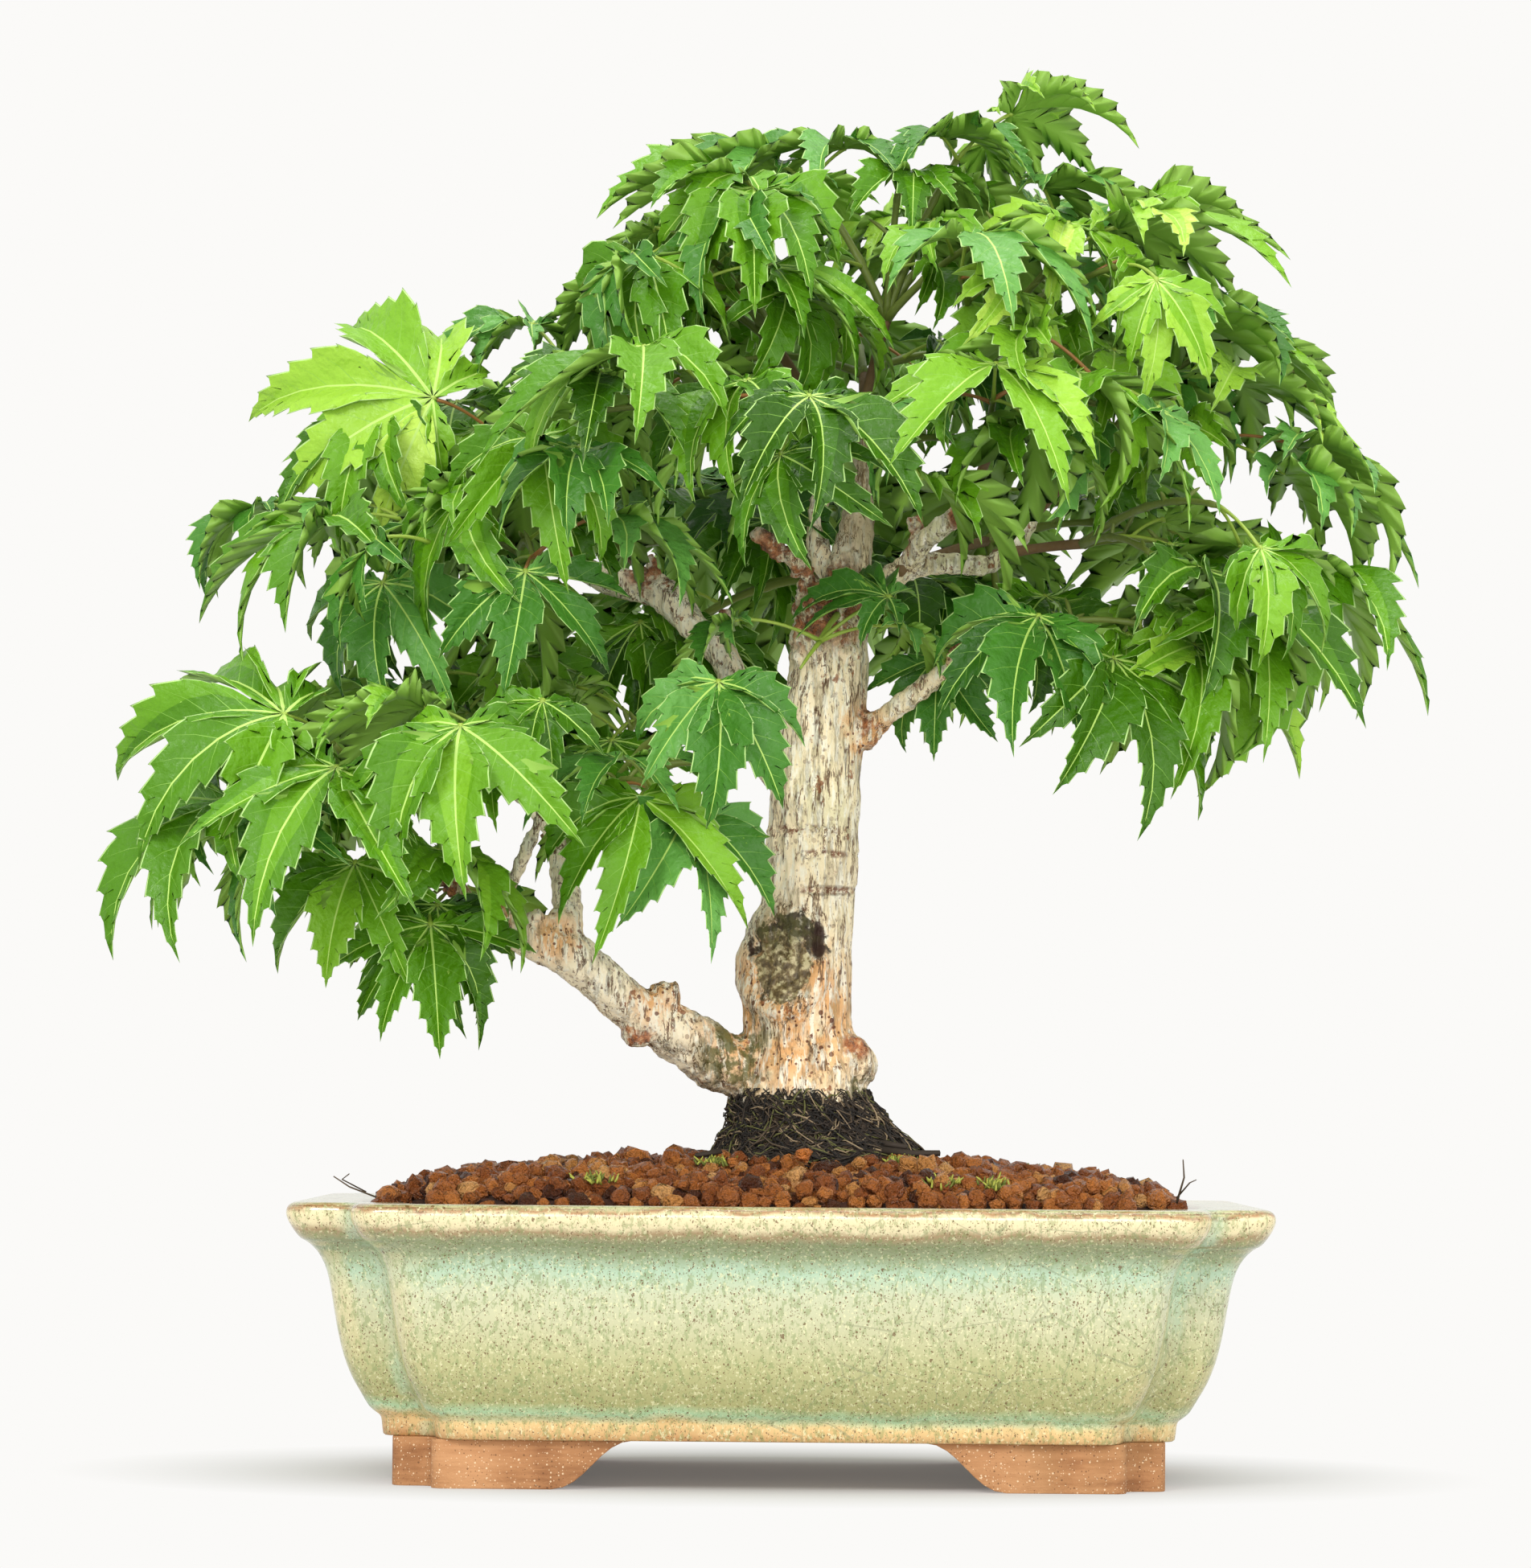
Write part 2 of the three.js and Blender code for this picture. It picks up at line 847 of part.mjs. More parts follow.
// Points along a leaf's lobes, by which crowded leaves are told.
function leafMarks(leaf) {
  const { place } = leafPlacer(leaf);
  const marks = leafForm.angles.flatMap((degrees, i) =>
    crowding.shares.map((share) =>
      place(radians(degrees), share, 0, leaf.reach * leafForm.reaches[i]),
    ),
  );
  return [leaf.at, ...marks];
}

// A leaf on its petiole, in one skin: drooping lobes with notches between them, thickest at its base.
function leafSolid(leaf, extra = 0) {
  const { place, ahead, side, up } = leafPlacer(leaf);
  const edge = [];
  const lastLobe = leafForm.angles.length - 1;
  leafForm.angles.forEach((degrees, i) => {
    const angle = radians(degrees);
    const reach = leaf.reach * leafForm.reaches[i];
    const half = leafForm.shoulderHalf * leaf.reach;
    if (i > 1 && i < lastLobe) edge.push(place(angle, leafForm.shoulderAt, -half, reach));
    edge.push(place(angle, 1, 0, reach));
    if (i > 0 && i < lastLobe - 1) edge.push(place(angle, leafForm.shoulderAt, half, reach));
    if (i === lastLobe) return;
    const notch = radians((degrees + leafForm.angles[i + 1]) / 2);
    edge.push(place(notch, leafForm.notchAt, 0, leaf.reach));
  });
  const radius = petiole.radius + extra;
  const square = (centre, across, above) => [
    centre.clone().addScaledVector(across, radius),
    centre.clone().addScaledVector(above, radius),
    centre.clone().addScaledVector(across, -radius),
    centre.clone().addScaledVector(above, -radius),
  ];
  const heel = square(leaf.at.clone().addScaledVector(ahead, -petiole.heel), side, up);
  const way = leaf.at.clone().sub(leaf.from).normalize();
  const across = side.clone().addScaledVector(way, -side.dot(way)).normalize();
  const foot = square(leaf.from, across, new THREE.Vector3().crossVectors(way, across));
  const half = leafForm.thickness / 2 + extra;
  const upper = leaf.at.clone().addScaledVector(up, half);
  const lower = leaf.at.clone().addScaledVector(up, -half);
  const points = [...edge, ...heel, ...foot, upper, lower];
  const end = edge.length - 1;
  const [left, above, right, below] = [1, 2, 3, 4].map((i) => end + i);
  const [footLeft, footAbove, footRight, footBelow] = [5, 6, 7, 8].map((i) => end + i);
  const [top, bottom] = [end + 9, end + 10];
  const rim = [...edge.keys(), left];
  const triangles = rim.slice(1).flatMap((j, i) => [
    [top, rim[i], j],
    [bottom, j, rim[i]],
  ]);
  triangles.push([top, left, above], [top, above, right], [top, right, 0]);
  triangles.push([bottom, below, left], [bottom, right, below], [bottom, 0, right]);
  const stalk = [
    [above, left, footLeft, footAbove],
    [right, above, footAbove, footRight],
    [below, right, footRight, footBelow],
    [left, below, footBelow, footLeft],
    [footAbove, footLeft, footBelow, footRight],
  ];
  stalk.forEach(([a, b, c, d]) => triangles.push([a, b, c], [a, c, d]));
  return solid(surface(points, triangles));
}

function placedLeaves({ mass }) {
  return mass.leaves.map(([x, y, z, heading, pitch, roll, reach]) => {
    const at = new THREE.Vector3(x, y, z);
    const gaps = mass.shoots.map((tip) => vector(tip).distanceTo(at));
    const shoot = gaps.indexOf(Math.min(...gaps));
    const from = vector(mass.shoots[shoot]);
    return { shoot, from, at, heading, pitch, roll, droop: leafForm.droop, reach };
  });
}

// The leaves round each shoot's end, in a fixed order of random draws.
function whorlLeaves({ mass, seed }) {
  const random = seeded(seed);
  const between = ([low, high]) => low + (high - low) * random();
  const headingOf = ([x, y], [fromX, fromY]) => Math.atan2(y - fromY, x - fromX);
  return mass.shoots.flatMap((tip, shoot) => {
    const away = headingOf(tip, crownAxis);
    const along = headingOf(tip, mass.fork);
    const outward = Math.atan2(
      Math.sin(away) + whorl.follow * Math.sin(along),
      Math.cos(away) + whorl.follow * Math.cos(along),
    );
    return whorl.turns.map((turn) => {
      const heading = THREE.MathUtils.radToDeg(outward) + turn + between(whorl.jitter);
      const stalk = new THREE.Vector3(between(whorl.stalk), 0, 0);
      const climb = radians(between(whorl.climb));
      stalk.applyAxisAngle(new THREE.Vector3(0, -1, 0), climb);
      stalk.applyAxisAngle(new THREE.Vector3(0, 0, 1), radians(heading));
      return {
        shoot,
        from: vector(tip),
        at: vector(tip).add(stalk),
        heading,
        pitch: between(whorl.pitch),
        roll: between(whorl.roll),
        droop: between(whorl.droop),
        reach: mass.reach * between(whorl.size),
      };
    });
  });
}

function shootSpine(from, to, thick, thin) {
  const middle = vector(from).lerp(vector(to), 0.5);
  middle.z += twig.rise * vector(from).distanceTo(vector(to));
  return [
    [...from, thick],
    [middle.x, middle.y, middle.z, (thick + thin) / 2],
    [...to, thin],
  ];
}

// Whether two solids meet: their boxes first, because that is quick.
function meets(made, other) {
  const a = made.boundingBox();
  const b = other.boundingBox();
  if ([0, 1, 2].some((i) => a.min[i] > b.max[i] || b.min[i] > a.max[i])) return false;
  const common = made.intersect(other);
  const hit = common.volume() > 0;
  common.delete();
  return hit;
}

const budSolid = (at, radius) => solid(new THREE.OctahedronGeometry(radius).translate(...at));

// Whether a leaf would stand too close to one that has grown.
function crowded(leaf, crown) {
  const near = crowding.gap ** 2;
  return leafMarks(leaf).some((mark) =>
    crown.some((item) => item.marks.some((other) => mark.distanceToSquared(other) < near)),
  );
}

const clear = (made, others) => !others.some((other) => meets(made, other));

const neighboursOf = (item, crown) =>
  crown.filter((other) => other !== item && other.made).map((other) => other.made);

// The stem of a mass, cut clear of its limb, and each shoot that stays clear of its neighbours.
function growTwigs(item, limbs, crown) {
  const { mass } = item;
  const parent = limbs[mass.parent];
  const otherLimbs = Object.values(limbs).filter((made) => made !== parent);
  const others = [...otherLimbs, ...neighboursOf(item, crown)];
  const stem = [
    [...mass.root, twig.stem],
    [...mass.fork, twig.fork],
  ];
  item.made = solid(limb(stem, twig.sides, 1)).add(budSolid(mass.fork, bud.fork)).subtract(parent);
  item.growing = mass.shoots.map((tip) => {
    const spine = shootSpine(mass.fork, tip, twig.fork, twig.tip);
    if (!clear(solid(limb(spine, twig.sides, twig.steps, clearance)), others)) return false;
    item.made = item.made.add(solid(limb(spine, twig.sides, twig.steps)));
    item.made = item.made.add(budSolid(tip, bud.tip));
    return true;
  });
}

// The leaves that stand clear of the limbs and of the other masses.
function addLeaves(item, leaves, limbs, crown) {
  const others = [...Object.values(limbs), ...neighboursOf(item, crown)];
  leaves.forEach((leaf) => {
    if (!item.growing[leaf.shoot] || !clear(leafSolid(leaf, clearance), others)) return;
    item.made = item.made.add(leafSolid(leaf));
    item.marks.push(...leafMarks(leaf));
  });
}

const bonsai = new THREE.Group();

function addMesh(name, geometry, colour, roughness) {
  const material = new THREE.MeshStandardMaterial({ color: colour, roughness, metalness: 0 });
  const mesh = new THREE.Mesh(geometry, material);
  mesh.name = name;
  bonsai.add(mesh);
  return mesh;
}

addMesh("pot", geometryOf(makePot()), colours.glaze, 0.2);
[
  ["foot_front_left", -1, -1],
  ["foot_front_right", 1, -1],
  ["foot_back_left", -1, 1],
  ["foot_back_right", 1, 1],
].forEach(([name, sideX, sideY]) => {
  addMesh(name, geometryOf(makeFoot()), colours.biscuit, 0.8).scale.set(sideX, sideY, 1);
});
addMesh("soil", geometryOf(makeSoil()), colours.soil, 0.95);
addMesh("root_ball", makeRootBall(), colours.peat, 0.95);

const wideLimbs = { trunk: makeTrunk(clearance) };
addMesh("trunk", geometryOf(makeTrunk()), colours.bark, 0.8);
Object.keys(boughs).forEach((name) => {
  const made = makeBough(name).subtract(wideLimbs[boughs[name].parent]);
  wideLimbs[name] = makeBough(name, clearance);
  addMesh(name, geometryOf(made), colours.bark, 0.8);
});

const crown = Object.values(masses).map((mass, index) => ({ mass, seed: index + 1, marks: [] }));
crown.forEach((item) => growTwigs(item, wideLimbs, crown));
crown.forEach((item) => addLeaves(item, placedLeaves(item), wideLimbs, crown));
crown.forEach((item) => {
  whorlLeaves(item).forEach((leaf) => {
    if (!crowded(leaf, crown)) addLeaves(item, [leaf], wideLimbs, crown);
  });
});
Object.keys(masses).forEach((name, index) => {
  addMesh(name, geometryOf(crown[index].made), colours.leaf, 0.6);
});

// The origin is at the middle of the whole plant and pot, on the surface that the pot stands on.
const box = new THREE.Box3().setFromObject(bonsai);
const middle = box.getCenter(new THREE.Vector3());
bonsai.position.set(-middle.x, -middle.y, 0);

export default bonsai;
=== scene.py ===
import json
import math
import random

import bmesh
import bpy
import numpy as np
from mathutils import Matrix, Vector, noise

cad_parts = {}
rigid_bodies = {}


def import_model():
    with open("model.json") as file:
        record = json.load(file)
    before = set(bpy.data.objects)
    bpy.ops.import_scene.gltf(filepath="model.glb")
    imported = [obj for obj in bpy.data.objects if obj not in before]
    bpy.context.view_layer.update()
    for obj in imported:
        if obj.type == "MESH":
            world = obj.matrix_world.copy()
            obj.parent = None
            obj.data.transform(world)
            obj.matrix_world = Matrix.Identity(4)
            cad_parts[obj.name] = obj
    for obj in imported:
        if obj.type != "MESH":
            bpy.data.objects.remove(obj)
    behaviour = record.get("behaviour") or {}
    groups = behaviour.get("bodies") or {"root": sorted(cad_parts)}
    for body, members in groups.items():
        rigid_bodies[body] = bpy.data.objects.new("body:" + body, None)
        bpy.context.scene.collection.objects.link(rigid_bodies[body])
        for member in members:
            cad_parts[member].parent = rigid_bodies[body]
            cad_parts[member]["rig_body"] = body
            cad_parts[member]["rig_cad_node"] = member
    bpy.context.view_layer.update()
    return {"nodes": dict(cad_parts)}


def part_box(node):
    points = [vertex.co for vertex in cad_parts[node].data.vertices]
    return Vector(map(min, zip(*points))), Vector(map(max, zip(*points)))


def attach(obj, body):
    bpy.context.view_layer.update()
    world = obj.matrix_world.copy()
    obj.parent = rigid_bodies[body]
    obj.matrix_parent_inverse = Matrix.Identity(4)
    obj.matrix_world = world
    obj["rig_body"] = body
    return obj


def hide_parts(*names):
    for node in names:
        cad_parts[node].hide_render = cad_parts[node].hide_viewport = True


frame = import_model()
potLow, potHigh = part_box("pot")
potMiddle = np.array([(potLow.x + potHigh.x) / 2, (potLow.y + potHigh.y) / 2, 0.0])
mm = 0.001


def rgb(red, green, blue):
    # a screen colour of 0 to 255 as the linear colour that nodes take
    parts = [value / 255 for value in (red, green, blue)]
    linear = [c / 12.92 if c <= 0.04045 else ((c + 0.055) / 1.055) ** 2.4 for c in parts]
    return (*linear, 1.0)


def inFrame(places):
    # millimetres from the middle of the pot, as metres in the frame
    return np.asarray(places, float).reshape(-1, 3) * mm + potMiddle


# The stage, the light and the camera
stage = {
    "sky": rgb(251, 250, 248),
    "paper": rgb(186, 186, 184),
    "glow": 0.1,  # painted light: the paper glows of itself, which thins the shadows
    "halfWidth": 6.0,
    # the table fades into the sky between these distances, so that it has no edge and its shadow stays short;
    # past them it is painted light, a black sheet that glows in the sky's colour and takes no shadow
    "fadeFrom": 0.05,
    "fadeTo": 0.105,
    "fadeShape": (0.72, 1.0, 1.0),
}
# the lamps: place, power in watts, size, colour
lights = {
    "keyLight": ((-0.55, -1.35, 1.0), 13, 0.5, (1.0, 0.985, 0.955)),
    "fillLight": ((1.15, -1.05, 0.6), 6, 1.0, (1.0, 0.99, 0.98)),
    "topLight": ((0.05, 0.05, 1.5), 9, 0.7, (1.0, 0.995, 0.98)),
    "frontLight": ((0.1, -1.6, 0.2), 6, 0.6, (1.0, 0.985, 0.96)),
}
lightsAim = (0, 0, 0.13)
camera = {
    # millimetres from the middle of the pot
    "across": -3.2,
    "away": -1200,
    "height": 76,
    # degrees
    "pitch": 3.01,
    "roll": -0.5,
    "focal": 7394,  # in pixels of the photograph
    "sensor": 36,
    "clip": (0.05, 20),
}
photoWide, photoHigh = 1904, 1950


def deselect():
    bpy.ops.object.select_all(action="DESELECT")


def only(piece):
    deselect()
    piece.select_set(True)
    bpy.context.view_layer.objects.active = piece


class Value:
    # a socket in a material's nodes, with sums written as sums
    def __init__(self, finish, socket):
        self.finish = finish
        self.socket = socket

    def sum(self, operation, other=None, flip=False):
        parts = [other, self] if flip else [self, other]
        inputs = {i: part for i, part in enumerate(parts) if part is not None}
        return self.finish.node("ShaderNodeMath", {"operation": operation}, inputs)

    def __add__(self, other):
        return self.sum("ADD", other)

    def __sub__(self, other):
        return self.sum("SUBTRACT", other)

    def __rsub__(self, other):
        return self.sum("SUBTRACT", other, True)

    def __mul__(self, other):
        return self.sum("MULTIPLY", other)

    def __lt__(self, other):
        return self.sum("LESS_THAN", other)

    def __gt__(self, other):
        return self.sum("GREATER_THAN", other)

    __radd__ = __add__
    __rmul__ = __mul__


class Finish:
    # a material, built node by node
    def __init__(self, name, **constants):
        self.material = bpy.data.materials.new(name)
        self.material.use_nodes = True
        self.tree = self.material.node_tree
        self.shader = self.tree.nodes["Principled BSDF"]
        for socket, value in constants.items():
            self.shader.inputs[socket.replace("_", " ")].default_value = value
        self.object = None

    def node(self, kind, settings=None, inputs=None, out=0):
        made = self.tree.nodes.new(kind)
        for name, value in (settings or {}).items():
            if name == "stops":
                ramp = made.color_ramp
                while len(ramp.elements) < len(value):
                    ramp.elements.new(0.5)
                for element, (position, colour) in zip(ramp.elements, value):
                    element.position = position
                    element.color = colour
            else:
                setattr(made, name, value)
        for name, value in (inputs or {}).items():
            if isinstance(value, Value):
                self.tree.links.new(value.socket, made.inputs[name])
            else:
                made.inputs[name].default_value = value
        return Value(self, made.outputs[out])

    def place(self):
        if self.object is None:
            self.object = self.node("ShaderNodeTexCoord", out="Object")
        return self.object

    def moved(self, scale=(1, 1, 1), location=(0, 0, 0)):
        inputs = {"Vector": self.place(), "Scale": scale, "Location": location}
        return self.node("ShaderNodeMapping", {"vector_type": "POINT"}, inputs)

    def noise(self, scale, detail=3.0, roughness=0.5, vector=None, out=0):
        inputs = {"Vector": vector or self.place(), "Scale": scale, "Detail": detail, "Roughness": roughness}
        return self.node("ShaderNodeTexNoise", {}, inputs, out)

    def cells(self, scale, vector=None, out="Distance", feature="F1"):
        inputs = {"Vector": vector or self.place(), "Scale": scale}
        return self.node("ShaderNodeTexVoronoi", {"feature": feature}, inputs, out)

    def chosen(self, scale, vector=None):
        # one random value for each cell, by which some cells are picked
        colour = self.cells(scale, vector, "Color")
        return self.node("ShaderNodeSeparateColor", {}, {0: colour}, "Red")

    def axis(self, name):
        # the place along one axis, in millimetres
        return self.node("ShaderNodeSeparateXYZ", {}, {0: self.place()}, name) * 1000

    def span(self, value, low, high, toLow=0.0, toHigh=1.0, smooth=True):
        settings = {"interpolation_type": "SMOOTHSTEP" if smooth else "LINEAR"}
        inputs = {"Value": value, "From Min": low, "From Max": high, "To Min": toLow, "To Max": toHigh}
        return self.node("ShaderNodeMapRange", settings, inputs)

    def ramp(self, value, stops):
        return self.node("ShaderNodeValToRGB", {"stops": stops}, {"Fac": value})

    def mix(self, factor, first, second, blend="MIX"):
        settings = {"data_type": "RGBA", "blend_type": blend}
        return self.node("ShaderNodeMix", settings, {"Factor": factor, 6: first, 7: second}, 2)

    def near(self, centre, radii, soft=0.35, ragged=0.0):
        # 1 inside an ellipsoid about a place given in millimetres, fading outside it
        middle = tuple(inFrame(centre)[0])
        away = self.node("ShaderNodeVectorMath", {"operation": "SUBTRACT"}, {0: self.place(), 1: middle})
        sizes = tuple(radius * mm for radius in radii)
        share = self.node("ShaderNodeVectorMath", {"operation": "DIVIDE"}, {0: away, 1: sizes})
        far = self.node("ShaderNodeVectorMath", {"operation": "LENGTH"}, {0: share}, "Value")
        return self.span(far + ragged, 1 - soft, 1 + soft, 1.0, 0.0)

    def nearAny(self, spots, soft):
        # 1 inside any of several ellipsoids, each given by its middle and its half sizes
        found = self.near(*spots[0], soft)
        for centre, radii in spots[1:]:
            found = found.sum("MAXIMUM", self.near(centre, radii, soft))
        return found

    def feed(self, socket, value):
        self.tree.links.new(value.socket, self.shader.inputs[socket])

    def bump(self, height, strength, distance):
        inputs = {"Height": height, "Strength": strength, "Distance": distance}
        self.feed("Normal", self.node("ShaderNodeBump", {}, inputs))


def addStage():
    deselect()
    bpy.ops.mesh.primitive_plane_add(size=2 * stage["halfWidth"])
    table = bpy.context.object
    table.name = table.data.name = "table"
    # painted light: near the pot the paper glows a little, which thins the shadows, and past the fade it is
    # black and glows in the sky's colour
    paper = Finish("whitePaper", Roughness=0.55, Specular_IOR_Level=0.0, Emission_Strength=1.0)
    oval = paper.moved(stage["fadeShape"])
    far = paper.node("ShaderNodeVectorMath", {"operation": "LENGTH"}, {0: oval}, "Value")
    fade = paper.span(far, stage["fadeFrom"], stage["fadeTo"], smooth=False)
    glow = (stage["glow"],) * 3 + (1,)
    paper.feed("Base Color", paper.mix(fade, stage["paper"], (0, 0, 0, 1)))
    paper.feed("Emission Color", paper.mix(fade, glow, stage["sky"]))
    table.data.materials.append(paper.material)

    world = bpy.data.worlds.new("studio")
    world.use_nodes = True
    world.node_tree.nodes["Background"].inputs["Color"].default_value = stage["sky"]
    bpy.context.scene.world = world
    for name, (place, power, size, colour) in lights.items():
        bpy.ops.object.light_add(type="AREA", location=place)
        lamp = bpy.context.object
        lamp.name = name
        lamp.data.energy, lamp.data.size, lamp.data.color = power, size, colour
        aim = Vector(lightsAim) - Vector(place)
        lamp.rotation_mode = "QUATERNION"
        lamp.rotation_quaternion = aim.to_track_quat("-Z", "Y")

    place = inFrame((camera["across"], camera["away"], camera["height"]))[0]
    bpy.ops.object.camera_add(location=place)
    eye = bpy.context.object
    eye.rotation_euler = (math.radians(90 + camera["pitch"]), math.radians(camera["roll"]), 0)
    eye.data.sensor_width = camera["sensor"]
    eye.data.lens = camera["sensor"] * camera["focal"] / max(photoWide, photoHigh)
    eye.data.clip_start, eye.data.clip_end = camera["clip"]
    bpy.context.scene.camera = eye
    bpy.context.scene.view_settings.view_transform = "Standard"
    print("stage: table, lights and camera")


addStage()


# Shaping tools
def meshFrom(name, places, faces, finishes, slots=None, smooth=True):
    # many small shapes joined in one mesh
    deselect()
    mesh = bpy.data.meshes.new(name)
    mesh.from_pydata(places.tolist() if isinstance(places, np.ndarray) else places, [], faces)
    for finish in finishes:
        mesh.materials.append(finish.material)
    if slots is not None:
        mesh.polygons.foreach_set("material_index", np.asarray(slots, np.int32))
    mesh.polygons.foreach_set("use_smooth", np.full(len(mesh.polygons), smooth))
    mesh.update()
    piece = bpy.data.objects.new(name, mesh)
    bpy.context.scene.collection.objects.link(piece)
    return piece


def extrudeRings(name, rings):
    # a face takes the shape of the first ring and is extruded from ring to ring, in metres
    count = len(rings[0])
    deselect()
    bpy.ops.mesh.primitive_circle_add(vertices=count, radius=0.01, fill_type="NGON")
    piece = bpy.context.object
    piece.name = piece.data.name = name
    for vertex, place in zip(piece.data.vertices, rings[0]):
        vertex.co = place
    bpy.ops.object.mode_set(mode="EDIT")
    bpy.ops.mesh.select_mode(type="FACE")
    bpy.ops.mesh.select_all(action="SELECT")
    for before, ring in zip(rings, rings[1:]):
        bpy.ops.mesh.extrude_region_move()
        shape = bmesh.from_edit_mesh(piece.data)
        cap = next(face for face in shape.faces if face.select)
        corners = list(cap.verts)
        first = int(np.argmin(np.linalg.norm(before - np.array(corners[0].co), axis=1)))
        second = int(np.argmin(np.linalg.norm(before - np.array(corners[1].co), axis=1)))
        step = 1 if second == (first + 1) % count else -1
        for i, corner in enumerate(corners):
            corner.co = ring[(first + step * i) % count]
        bmesh.update_edit_mesh(piece.data)
    bpy.ops.mesh.select_all(action="SELECT")
    bpy.ops.mesh.normals_make_consistent(inside=False)
    bpy.ops.object.mode_set(mode="OBJECT")
    return piece


def spline(points, steps):
    # places evenly spaced by parameter on a smooth curve through points, each x, y, z, radius
    points = np.asarray(points, float)
    ends = np.vstack([2 * points[0] - points[1], points, 2 * points[-1] - points[-2]])
    made = []
    for t in np.linspace(0, len(points) - 1, steps + 1):
        i = min(int(t), len(points) - 2)
        u = t - i
        a, b, c, d = ends[i:i + 4]
        place = 0.5 * (2 * b + (c - a) * u + (2 * a - 5 * b + 4 * c - d) * u * u
                       + (3 * b - a - 3 * c + d) * u ** 3)
        place[3:] = b[3:] + (c[3:] - b[3:]) * u
        made.append(place)
    return np.array(made)


def tubeRings(path, sides, upright=False):
    # rings round a path of x, y, z, radius, turned as little as possible along it
    path = np.asarray(path, float)
    ahead = np.gradient(path[:, :3], axis=0)
    ahead /= np.linalg.norm(ahead, axis=1)[:, None] + 1e-12
    if upright:
        ahead[0] = (0, 0, 1)
    across = np.array([1.0, 0, 0])
    if abs(ahead[0] @ across) > 0.9:
        across = np.array([0, 1.0, 0])
    turns = 2 * np.pi * np.arange(sides) / sides
    rings = []
    for place, way in zip(path, ahead):
        across = across - way * (across @ way)
        across /= np.linalg.norm(across)
        beside = np.cross(way, across)
        circle = np.outer(np.cos(turns), across) + np.outer(np.sin(turns), beside)
        rings.append(place[:3] + place[3] * circle)
    return rings


def joinAll(pieces, name):
    deselect()
    for piece in pieces:
        piece.select_set(True)
    bpy.context.view_layer.objects.active = pieces[0]
    if len(pieces) > 1:
        bpy.ops.object.join()
    made = bpy.context.object
    made.name = made.data.name = name
    return made


def applyModifier(piece, kind, **settings):
    only(piece)
    modifier = piece.modifiers.new(kind.lower(), kind)
    for name, value in settings.items():
        setattr(modifier, name, value)
    bpy.ops.object.modifier_apply(modifier=modifier.name)


def placesOf(piece):
    places = np.empty(len(piece.data.vertices) * 3)
    piece.data.vertices.foreach_get("co", places)
    return places.reshape(-1, 3)


def normalsOf(piece):
    normals = np.empty(len(piece.data.vertices) * 3, np.float32)
    piece.data.vertices.foreach_get("normal", normals)
    return normals.reshape(-1, 3).astype(float)


def setPlaces(piece, places):
    piece.data.vertices.foreach_set("co", places.ravel())
    piece.data.update()


def paint(piece, finish):
    piece.data.materials.clear()
    piece.data.materials.append(finish.material)


def ready(piece, slot, *nodes):
    # every piece rides on the one body
    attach(piece, "root")
    if nodes:
        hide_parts(*nodes)
    return piece


def smoothStep(value, low, high):
    share = np.clip((value - low) / (high - low), 0, 1)
    return share * share * (3 - 2 * share)


def wobble(places, size, depth=3, seed=0):
    # smooth noise of about -1 to 1 at each place, for lumps of that size
    shift = Vector((seed * 17.3, seed * 5.1, seed * 9.7))
    return np.array([noise.fractal(Vector(p) / size + shift, 1.0, 2.0, depth) for p in places])


# The pot
pot = {
    "depthLess": 27,
    "cornerCut": 0.14,
    "cornerRound": 5.6,
    "creaseRound": 3.4,
    # height, half length
    "profile": [
        [9.5, 76.6], [9.8, 77.3], [12.3, 77.6], [13.3, 77.9], [14.0, 78.7], [15.2, 80.0], [18, 81.6],
        [21, 83.2], [25, 84.7], [30, 85.9], [36, 86.9], [40, 87.6], [43, 88.5], [45.4, 89.8], [46.8, 91.1],
        [47.4, 91.9], [48.0, 92.9], [49.2, 93.9], [51, 95.0], [52.4, 95.5], [53.5, 95.5], [54.3, 95.1],
        [54.8, 94.4], [55, 93.4], [55, 91], [54.9, 87], [54.9, 84.5], [54.7, 83.1], [54.2, 82.2],
        [53.2, 81.6], [50, 80.7], [40, 79.2], [24, 77], [16, 73], [14, 70.5],
    ],
    "top": 55.0,
    "lipFrom": 52.4,
    # in levels of the profile: how far above lipFrom the line of the lip lies, and its half width
    "lipLine": (1.9, 2.2),
    "creasedLevels": 4,  # levels above lipFrom that still have creases
    "drainRadius": 8,
    "drainOffset": 42,
    "drainHeight": 12,
    "drainDepth": 12,
    "smoothUnder": 50,
}
feet = {
    "nodes": ("foot_front_left", "foot_front_right", "foot_back_left", "foot_back_right"),
    "cornerRound": 2.6,
    "edgeRound": 0.7,
    "upright": 0.4,  # an edge that goes aside by less than this stands upright
    "shortest": 4,
    "smoothUnder": 35,
}
